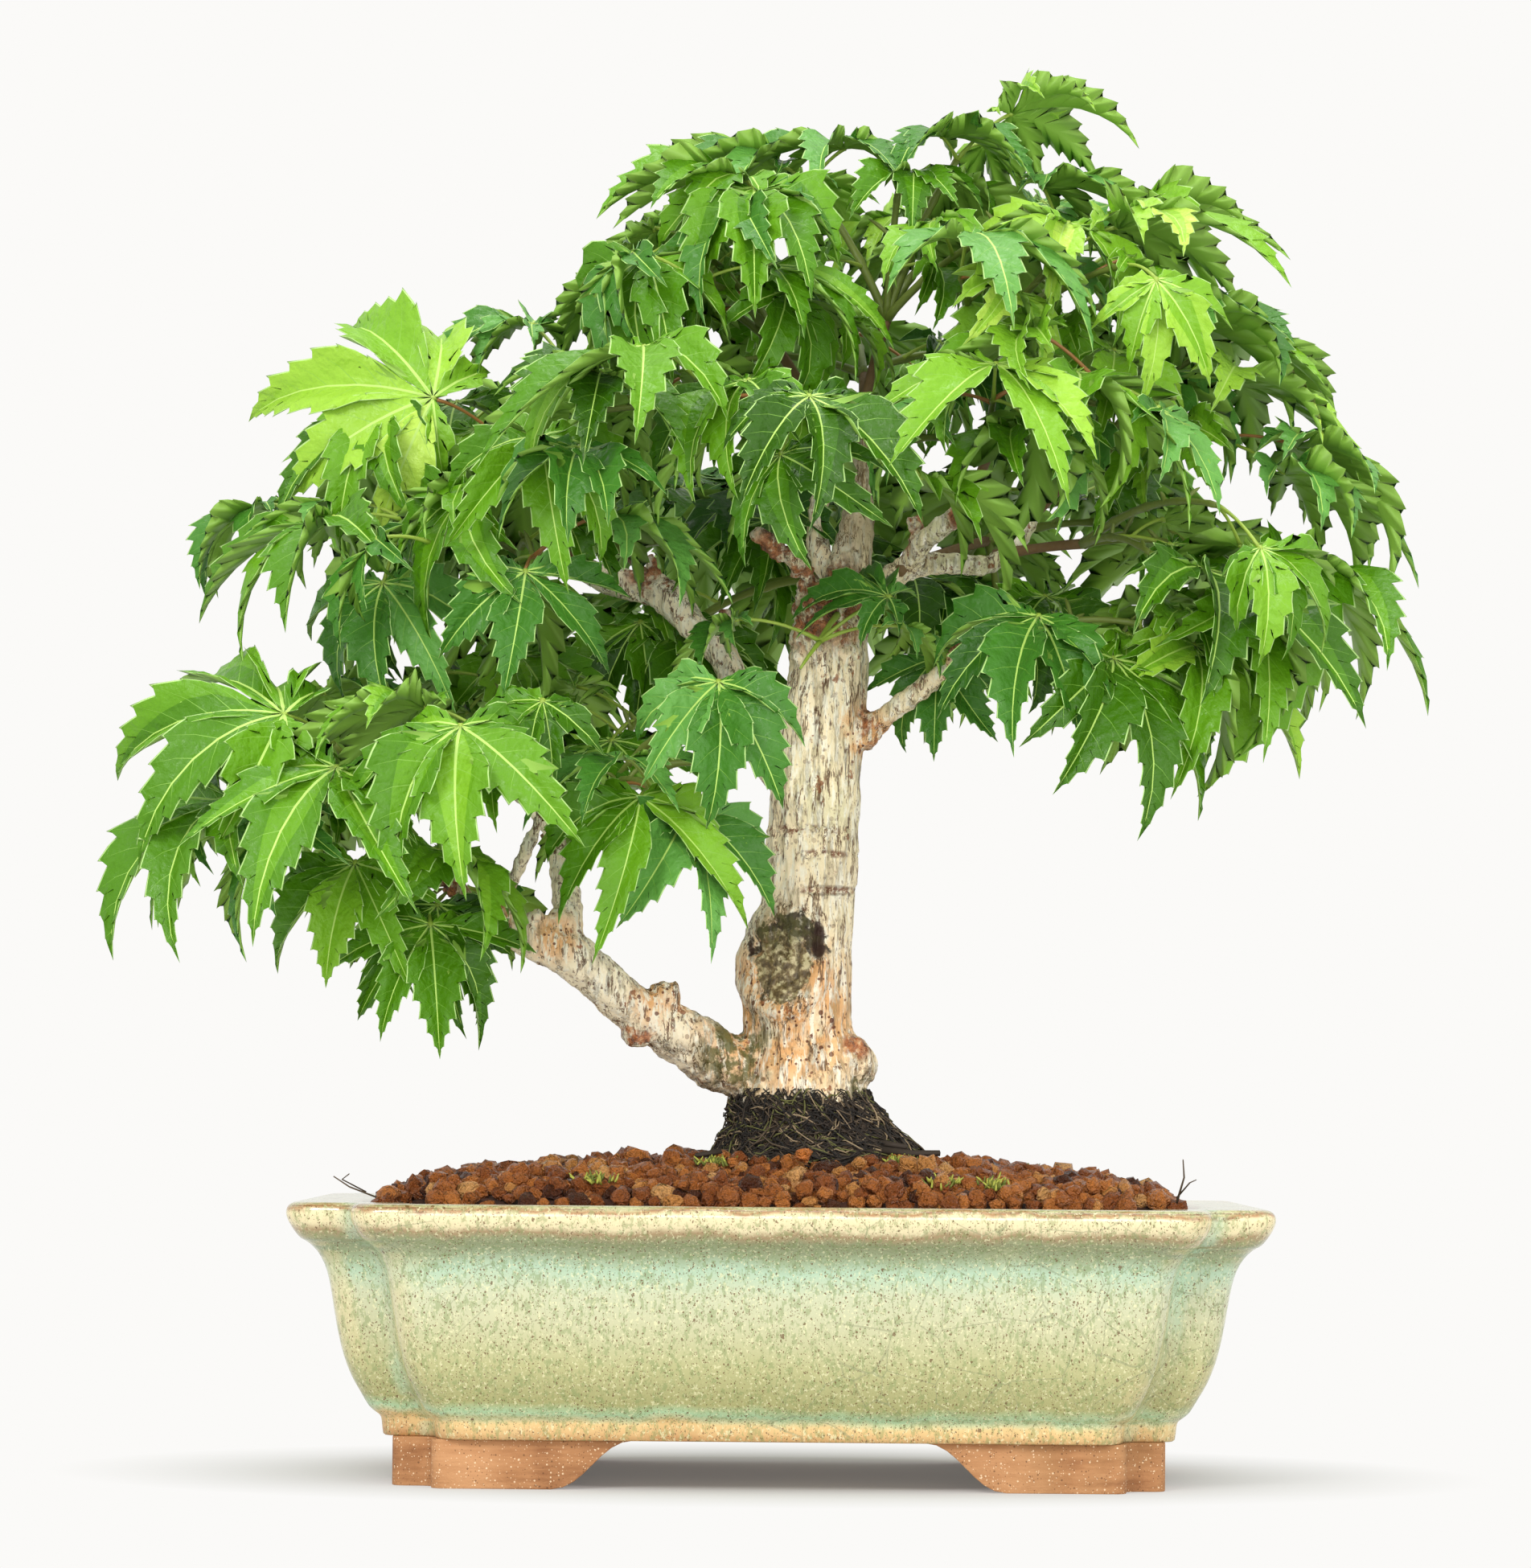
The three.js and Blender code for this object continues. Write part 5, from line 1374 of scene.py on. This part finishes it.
def makeTemplate(fewer):
    # one leaf laid flat: for each point its lobe, share along the lobe, place aside and height; and its faces
    # with their lobes and kinds: 0 strip by the midrib, 1 blade, 2 midrib, 3 edge, 4 underside, 5 side vein
    points, faces, kinds = [], [], []
    lobes = leafForm["lobes"]
    wide, waist, fades = leafForm["widest"], leafForm["waist"], leafForm["toothFades"]

    def point(lobe, share, aside, lift):
        points.append((lobe, share, aside, lift))
        return len(points) - 1

    def face(side, kind, *corners):
        faces.append(corners if side > 0 else corners[::-1])
        kinds.append(kind)

    for index, (angle, length, half, teeth) in enumerate(lobes):
        teeth -= fewer

        def width(share, side):
            # half width of the lobe, held back by its neighbour near the base of the leaf
            if share < wide:
                free = half * (waist + (1 - waist) * (share / wide) ** 1.3)
            else:
                free = half * ((1 - share) / (1 - wide)) ** leafForm["taper"]
            other = index + side
            gap = abs(lobes[other][0] - angle) if 0 <= other < len(lobes) else 150
            limit = share * length * math.tan(math.radians(min(gap, 150) / 2)) + 0.004
            limit *= 1 + 8 * max(0.0, share - leafForm["sinus"])
            return min(free, limit), 1.0 if free < limit - 0.004 else 0.0

        starts = [leafForm["toothless"], *np.linspace(leafForm["firstTooth"], 1, teeth)]
        veinRoots = []
        for k, share in enumerate(starts[:-1]):
            w = (width(share, 1)[0] + width(share, -1)[0]) / 2
            veinRoots.append(max(share - 0.72 * w / length, 0.03 + 0.012 * k))
        ribs = [0.0]
        for k, root in enumerate(veinRoots):
            thin = leafForm["vein"] * (1.25 - 0.75 * k / teeth) / length
            ribs += [root - thin, root + thin]
        ribs.append(1.0)
        ridge = [point(index, share, 0, 0.009 * (1 - share)) for share in ribs]
        thick = leafForm["thickness"]
        under = [point(index, share, 0, -thick * (1.1 - share)) for share in [0.0, *veinRoots]]
        tip = point(index, 1.0, 0, 0)
        for side in (-1, 1):
            edge = []
            for share in ribs[:-1]:
                edge.append(point(index, share, side * (leafForm["rib"] * (1 - share) + 0.0018), 0.0025))
            edge.append(tip)
            for j in range(len(ribs) - 1):
                face(side, 2, ridge[j], ridge[j + 1], edge[j + 1], edge[j])
            outer, inner, bends = [], [], []
            for k, share in enumerate(starts[:-1]):
                w = width(share, side)[0]
                here, inside = [], []
                for part, out, forward, margin in leafForm["tooth"]:
                    at = share + (starts[k + 1] - share) * part
                    local, isFree = width(at, side)
                    size = min(1.0, local / fades) * isFree
                    local += out * size
                    at = min(at + forward * size, 0.99)
                    margin *= 0.2 + 0.8 * size
                    here.append(point(index, at, side * max(local, 0.0012), 0))
                    back = margin * (0.9 if out > 0 else 0.1)
                    inside.append(point(index, at - back, side * max(local - margin, 0.0008), 0.002))
                outer.append(here)
                inner.append(inside)
                low, high = ribs[1 + 2 * k], ribs[2 + 2 * k]
                bend = veinRoots[k] + 0.55 * (share - veinRoots[k])
                thin = 0.6 * (high - low) / 2
                bends.append((point(index, bend - thin, side * 0.55 * w, 0.003),
                              point(index, bend + thin, side * 0.55 * w, 0.003)))
            outer.append([tip])
            inner.append([tip])
            for k in range(teeth):
                before, after = bends[k]
                last = k + 1 == teeth
                end = inner[k][0]
                face(side, 5, edge[1 + 2 * k], edge[2 + 2 * k], after, before)
                face(side, 5, before, after, end)
                if last:
                    ring = [after, edge[2 + 2 * k], tip]
                else:
                    face(side, 0, edge[2 + 2 * k], edge[3 + 2 * k], bends[k + 1][0], after)
                    ring = [after, bends[k + 1][0], inner[k + 1][0]]
                ring += [inner[k][3], inner[k][2], inner[k][1], end]
                middle = np.mean([points[corner][1:] for corner in ring], axis=0)
                centre = point(index, middle[0], middle[1], leafForm["pucker"] * (1 if k > 0 else 0.3))
                for a, b in zip(ring, ring[1:] + ring[:1]):
                    face(side, 1, centre, a, b)
                # the pale margin, and the underside that closes the lobe
                rim = outer[k] + [outer[k + 1][0]]
                inRim = inner[k] + [inner[k + 1][0]]
                for j in range(4):
                    corners = [inRim[j], inRim[j + 1], rim[j + 1], rim[j]]
                    if corners[1] == corners[2]:
                        corners.pop(1)
                    face(side, 3, *corners)
                    face(side, 4, under[k + 1], rim[j], rim[j + 1])
                if not last:
                    face(side, 4, under[k + 1], rim[4], under[k + 2])
            # the wedge before the first vein
            face(side, 1, edge[0], edge[1], bends[0][0], inner[0][0])
            face(side, 3, edge[0], inner[0][0], outer[0][0])
            face(side, 3, ridge[0], edge[0], outer[0][0])
            face(side, 4, under[0], outer[0][0], under[1])
            face(side, 4, under[0], ridge[0], outer[0][0])
    owners = np.array([int(points[corners[0]][0]) for corners in faces])
    return np.array(points), faces, np.array(kinds), owners


templates = {"fine": makeTemplate(0), "plain": makeTemplate(2)}


def direction(heading, climb):
    # a way of length 1, from its angles in radians
    level = math.cos(climb)
    return np.array([level * math.cos(heading), level * math.sin(heading), math.sin(climb)])


def leafFrame(leaf):
    heading = math.radians(leaf["heading"])
    ahead = direction(heading, -math.radians(leaf["pitch"]))
    level = Vector((-math.sin(heading), math.cos(heading), 0))
    level.rotate(Matrix.Rotation(math.radians(leaf["roll"]), 3, Vector(ahead)))
    side = np.array(level)
    return ahead, side, np.cross(ahead, side)


def lobePath(share, droop):
    # how far out and down a drooping lobe has come, and its slope there
    start = math.radians(leafForm["startSlope"])
    bend = droop - start
    now = start + bend * share
    return (np.sin(now) - math.sin(start)) / bend, (math.cos(start) - np.cos(now)) / bend, now


def leafPlaces(leaf, points, rng):
    ahead, side, up = leafFrame(leaf)
    lobe = points[:, 0].astype(int)
    share, aside, lift = points[:, 1:].T
    table = np.array(leafForm["lobes"])

    def each(name):
        return np.array([rng.uniform(*leafChange[name]) for _ in table])

    angles = np.radians(table[:, 0] * rng.uniform(*leafChange["spread"]) + each("turn"))
    lengths = table[:, 1] * each("length")
    droops = np.radians(leaf["droop"] + each("droop"))
    fold, sickle, twist = each("fold"), each("sickle"), np.radians(each("twist"))
    waves, phase, slim = each("wave"), each("phase"), each("slim")
    aside = aside * slim[lobe]
    reach = leaf["reach"]
    width = np.abs(aside) / 0.2
    lift = lift + fold[lobe] * np.abs(aside) * smoothStep(share, 0.02, 0.3)
    lift = lift + waves[lobe] * np.sin(share * 15 + phase[lobe] + 2 * (aside > 0)) * width ** 2
    turn = twist[lobe] * share
    turned = aside * np.cos(turn) - lift * np.sin(turn)
    lifted = aside * np.sin(turn) + lift * np.cos(turn)
    turned = turned + sickle[lobe] * share ** 2 * lengths[lobe]
    out, down, slope = lobePath(share, droops[lobe])
    angle = angles[lobe]
    along = lengths[lobe] * out
    cos, sin = np.cos(angle), np.sin(angle)
    tip = np.sin(slope) * lifted
    places = (np.outer(along * cos - turned * sin + tip * cos, ahead)
              + np.outer(along * sin + turned * cos + tip * sin, side)
              + np.outer(-lengths[lobe] * down + lifted * np.cos(slope), up))
    return np.array(leaf["at"]) + reach * places


def leafMarks(leaf):
    # points along the lobes, by which crowded leaves are told
    ahead, side, up = leafFrame(leaf)
    marks = [np.array(leaf["at"])]
    for degrees, length in ((-98, 0.68), (-48, 0.92), (0, 1), (48, 0.92), (98, 0.68)):
        angle, reach = math.radians(degrees), leaf["reach"] * length
        for share in (0.35, 0.7, 0.98):
            out, down, _ = lobePath(share, math.radians(leaf["droop"]))
            way = math.cos(angle) * ahead + math.sin(angle) * side
            marks.append(np.array(leaf["at"]) + reach * out * way - reach * down * up)
    return np.array(marks)


def seeded(seed):
    # the source's own stream of random numbers
    state = seed

    def step():
        nonlocal state
        wrap = 0xffffffff
        state = (state + 0x6d2b79f5) & wrap
        mixed = ((state ^ (state >> 15)) * (1 | state)) & wrap
        mixed = ((mixed + (((mixed ^ (mixed >> 7)) * (61 | mixed)) & wrap)) & wrap) ^ mixed
        return ((mixed ^ (mixed >> 14)) & wrap) / 4294967296
    return step


def whorlLeaves(mass, seed):
    step = seeded(seed)

    def between(ends):
        return ends[0] + (ends[1] - ends[0]) * step()

    def headingOf(tip, start):
        return math.atan2(tip[1] - start[1], tip[0] - start[0])

    made = []
    for shoot, tip in enumerate(mass["shoots"]):
        away, along = headingOf(tip, whorl["axis"]), headingOf(tip, mass["fork"])
        outward = math.atan2(math.sin(away) + whorl["follow"] * math.sin(along),
                             math.cos(away) + whorl["follow"] * math.cos(along))
        for turn in whorl["turns"]:
            heading = math.degrees(outward) + turn + between(whorl["jitter"])
            stalk = between(whorl["stalk"])
            climb = math.radians(between(whorl["climb"]))
            at = np.array(tip) + stalk * direction(math.radians(heading), climb)
            made.append(dict(shoot=shoot, start=np.array(tip, float), at=at, heading=heading,
                             pitch=between(whorl["pitch"]), roll=between(whorl["roll"]),
                             droop=between(whorl["droop"]), reach=mass["reach"] * between(whorl["size"])))
    return made


def placedLeaves(mass):
    made = []
    for x, y, z, heading, pitch, roll, reach in mass["leaves"] + mass.get("more", []):
        at = np.array([x, y, z], float)
        gaps = [np.linalg.norm(np.array(tip) - at) for tip in mass["shoots"]]
        shoot = int(np.argmin(gaps))
        start = np.array(mass["shoots"][shoot], float)
        made.append(dict(shoot=shoot, start=start, at=at, heading=heading, pitch=pitch, roll=roll,
                         droop=whorl["placedDroop"], reach=reach * whorl["placedSize"], plain=False))
    return made


def inSky(marks):
    # whether a leaf hangs where the photograph shows sky, seen from the camera
    nearer = -camera["away"] / (marks[:, 1] - camera["away"])
    across = camera["across"] + (marks[:, 0] - camera["across"]) * nearer
    up = camera["height"] + (marks[:, 2] - camera["height"]) * nearer
    for x, z, halfWide, halfHigh in skies:
        if np.count_nonzero(((across - x) / halfWide) ** 2 + ((up - z) / halfHigh) ** 2 < 1) > 1:
            return True
    return False


def innerLeaves(mass, rng):
    made = []
    fork = np.array(mass["fork"], float)

    def offer(shoot, start, heading, kind):
        stalk, climb, size, pitch = [rng.uniform(*kind[part]) for part in ("stalk", "climb", "size", "pitch")]
        at = start + stalk * direction(math.radians(heading), math.radians(climb))
        roll, droop = rng.uniform(*innerLeaf["roll"]), rng.uniform(*innerLeaf["droop"])
        made.append(dict(shoot=shoot, start=start, at=at, heading=heading, pitch=pitch, roll=roll,
                         droop=droop, reach=mass["reach"] * size))

    for shoot, tip in enumerate(mass["shoots"]):
        tip = np.array(tip, float)
        length = np.linalg.norm(tip - fork)
        along = math.degrees(math.atan2(tip[1] - fork[1], tip[0] - fork[0]))
        outside = 0 if tip[0] > whorl["axis"][0] else 180
        for _ in range(innerLeaf["tipCount"]):
            offer(shoot, tip, outside + rng.uniform(*innerLeaf["tipTurn"]), innerLeaf["tip"])
        long = length > innerLeaf["shortUnder"]
        for share in innerLeaf["sideShares" if long else "shortShares"]:
            start = fork + (tip - fork) * share
            start[2] += innerLeaf["bow"] * length * 4 * share * (1 - share)
            for side in (-1, 1):
                offer(shoot, start, along + side * rng.uniform(*innerLeaf["sideTurn"]), innerLeaf["side"])
    return made


def growLeaves():
    # the placed leaves first, then those of the whorls, then the inner ones, where there is room
    rng = random.Random(23)
    grown = {name: placedLeaves(mass) for name, mass in masses.items()}
    marks = np.vstack([leafMarks(leaf) for leaves in grown.values() for leaf in leaves])
    wood = np.vstack([spline(spine, 40) for spine in (trunkSpine, *limbs.values())])
    candidates = [(name, leaf) for number, (name, mass) in enumerate(masses.items())
                  for leaf in whorlLeaves(mass, number + 1)]
    inner = [(name, leaf) for name, mass in masses.items() for leaf in innerLeaves(mass, rng)]
    for late, offered in enumerate((candidates, inner)):
        least = whorl["gap"] * (whorl["innerGap"] if late else 1.0)
        for name, leaf in offered:
            own = leafMarks(leaf)
            if inSky(own):
                continue
            gaps = np.linalg.norm(marks[:, None] - own[None], axis=2)
            if gaps.min() < least:
                continue
            clear = np.linalg.norm(wood[:, None, :3] - own[None], axis=2) - wood[:, None, 3]
            if clear.min() < whorl["offWood"]:
                continue
            leaf["plain"] = late > 0 or name.startswith("back")
            grown[name].append(leaf)
            marks = np.vstack([marks, own])
    return grown


def leafFinishes():
    made = []
    for number, tone in enumerate(leafForm["tones"] + leafForm["cool"]):
        blade = Finish(f"leafBlade{number}", Base_Color=rgb(*tone), Roughness=0.45, Specular_IOR_Level=0.3)
        skin = blade.noise(700, 3, 0.6)
        blade.feed("Roughness", blade.span(skin, 0.35, 0.65, 0.32, 0.56))
        blade.bump(skin * 0.35 + blade.noise(300, 2, 0.5), 0.8, 0.0011)
        made.append(blade)
    for part in ("midrib", "edge", "underside", "sideVein"):
        name = "leaf" + part[0].upper() + part[1:]
        made.append(Finish(name, Base_Color=rgb(*leafForm[part]), Roughness=0.55))
    return made


# stems, shoots and stalks; a list of radii runs from the start to the end
twig = {
    # colour and roughness of each kind
    "finishes": {
        "twigBark": ((122, 96, 62), 0.7),
        "greenShoot": ((112, 128, 52), 0.5),
        "leafStalk": ((150, 176, 66), 0.45),
        "redStalk": ((160, 110, 60), 0.45),
    },
    "stem": [1.3, 1.0, 1.1],
    "stemIn": 0.12,  # how far a stem starts within its limb, as a share of its length
    "shoot": [0.95, 0.75, 0.6],
    "step": 2.2,
    "nodeEvery": 5,
    "node": 1.3,
    "sideTwigs": 2,
    "sideLength": (3, 7),
    "side": [0.55, 0.42, 0.5, 0.12],
    "stalk": [0.55, 0.36, 0.36, 0.44],
    "greenStalks": 0.85,
    "sprigStem": [0.8, 0.62, 0.75],
    "sprigTip": [0.6, 0.45, 0.3],
    "sprigWay": [-4, -6, -6],
}


def bentPath(start, end, rise, radii, steps=6):
    start, end = np.asarray(start, float), np.asarray(end, float)
    middle = (start + end) / 2 + np.array([0, 0, rise * np.linalg.norm(end - start)])
    path = []
    for step in range(steps + 1):
        t = step / steps
        place = (1 - t) ** 2 * start + 2 * t * (1 - t) * middle + t * t * end
        path.append([*place, np.interp(t, np.linspace(0, 1, len(radii)), radii)])
    return path


def twigPaths(mass, leaves, rng):
    # the stem, the shoots with their nodes and bare side twigs, and the leaf stalks, each with its slot
    paths, slots = [], []
    order = list(twig["finishes"])

    def add(path, kind):
        paths.append(path)
        slots.append(order.index(kind))

    root, fork = np.array(mass["root"], float), np.array(mass["fork"], float)
    if mass is sprig:
        shoots = []
        add(bentPath(root, fork, 0.1, twig["sprigStem"], 6), "leafStalk")
        add(bentPath(fork, fork + twig["sprigWay"], 0.05, twig["sprigTip"], 5), "leafStalk")
    else:
        shoots = mass["shoots"]
        add(bentPath(root - twig["stemIn"] * (fork - root), fork, 0.03, twig["stem"], 8), "twigBark")
    for tip in shoots:
        tip = np.array(tip, float)
        steps = max(6, int(np.linalg.norm(tip - fork) / twig["step"]))
        path = bentPath(fork, tip, 0.16, twig["shoot"], steps)
        for place in path[::twig["nodeEvery"]]:
            place[3] *= twig["node"]
        add(path, "greenShoot")
        for _ in range(twig["sideTwigs"]):
            at = rng.randrange(1, steps)
            start = np.array(path[at][:3])
            way = np.array([rng.uniform(-1, 1), rng.uniform(-1, 1), rng.uniform(0.1, 1)])
            end = start + way / np.linalg.norm(way) * rng.uniform(*twig["sideLength"])
            add(bentPath(start, end, 0.1, twig["side"], 5), "greenShoot")
    for leaf in leaves:
        ahead, _, up = leafFrame(leaf)
        heel = leaf["at"] - ahead * 0.4 - up * 0.1
        stalk = bentPath(leaf["start"], heel, 0.14, twig["stalk"], 7)
        add(stalk, "leafStalk" if rng.random() < twig["greenStalks"] else "redStalk")
        # the pale knot where the lobes meet
        add([[*(leaf["at"] - ahead * 0.9 - up * 0.25), 0.3], [*(leaf["at"] - ahead * 0.2), 0.72],
             [*(leaf["at"] + ahead * 0.8 + up * 0.1), 0.2]], "leafStalk")
    return paths, slots


def twigFinishes():
    made = []
    for name, (colour, rough) in twig["finishes"].items():
        finish = Finish(name, Base_Color=rgb(*colour), Roughness=rough)
        grain = finish.noise(900, 3, 0.6)
        finish.feed("Roughness", finish.span(grain, 0.3, 0.7, rough - 0.1, rough + 0.12))
        finish.bump(grain, 0.3, 0.0002)
        made.append(finish)
    return made


def lobeSlots(tone, rng, dealt):
    # the slots of each lobe, for its blade and for the strip along its midrib
    warm, cool = len(leafForm["tones"]), len(leafForm["cool"])
    tones = tone + np.array([dealt.gauss(0, leafForm["lobeSpread"]) for _ in leafForm["lobes"]])
    strip = np.clip(np.rint(tones), 0, warm - 1).astype(int)
    blade = np.clip(np.rint(tones + rng.choice((-0.5, 0, 0.5))), 0, warm - 1).astype(int)
    if dealt.random() < leafForm["coolShare"]:
        strip = blade = warm + np.clip(np.rint(tones / 2), 0, cool - 1).astype(int)
    return strip, blade


def growFoliage():
    grown = growLeaves()
    rng, dealt = random.Random(91), random.Random(57)
    leafLooks, twigLooks = leafFinishes(), twigFinishes()
    midrib, edge, underside, sideVein = range(len(leafLooks) - 4, len(leafLooks))
    total, triangles = 0, 0
    for name, leaves in [*grown.items(), ("front_sprig_foliage", placedLeaves(sprig))]:
        mass = masses.get(name, sprig)
        places, faces, slots = [], [], []
        sprays = {}
        offset = 0
        for leaf in leaves:
            points, leafFaces, kinds, lobeOf = templates["plain" if leaf["plain"] else "fine"]
            spray = sprays.setdefault(leaf["shoot"], rng.gauss(0, 0.5))
            # the mass's tone carries painted shade for masses at the back and beneath and painted light for
            # the sunlit ones
            tone = 1.4 * mass["tone"] - 0.1 + spray + rng.gauss(0, 0.5)
            strip, blade = lobeSlots(tone, rng, dealt)
            places.append(leafPlaces(leaf, points, rng))
            faces += [tuple(v + offset for v in face) for face in leafFaces]
            slots.append(np.choose(kinds, [strip[lobeOf], blade[lobeOf], midrib, edge, underside, sideVein]))
            offset += len(points)
        piece = meshFrom(name.replace("foliage", "leaves"), inFrame(np.vstack(places)), faces, leafLooks,
                         np.concatenate(slots))
        ready(piece, "leaves", *([name] if name in masses else []))
        total += len(leaves)
        triangles += sum(len(face) - 2 for face in faces)
        paths, pathSlots = twigPaths(mass, leaves, rng)
        tubePlaces, tubeFaces, owners = tubes(paths, 6)
        twigs = meshFrom(name.replace("foliage", "twigs"), inFrame(tubePlaces), tubeFaces, twigLooks,
                         [pathSlots[owner] for owner in owners])
        ready(twigs, "leaves")
    print("foliage:", total, "leaves,", triangles, "triangles")


growFoliage()
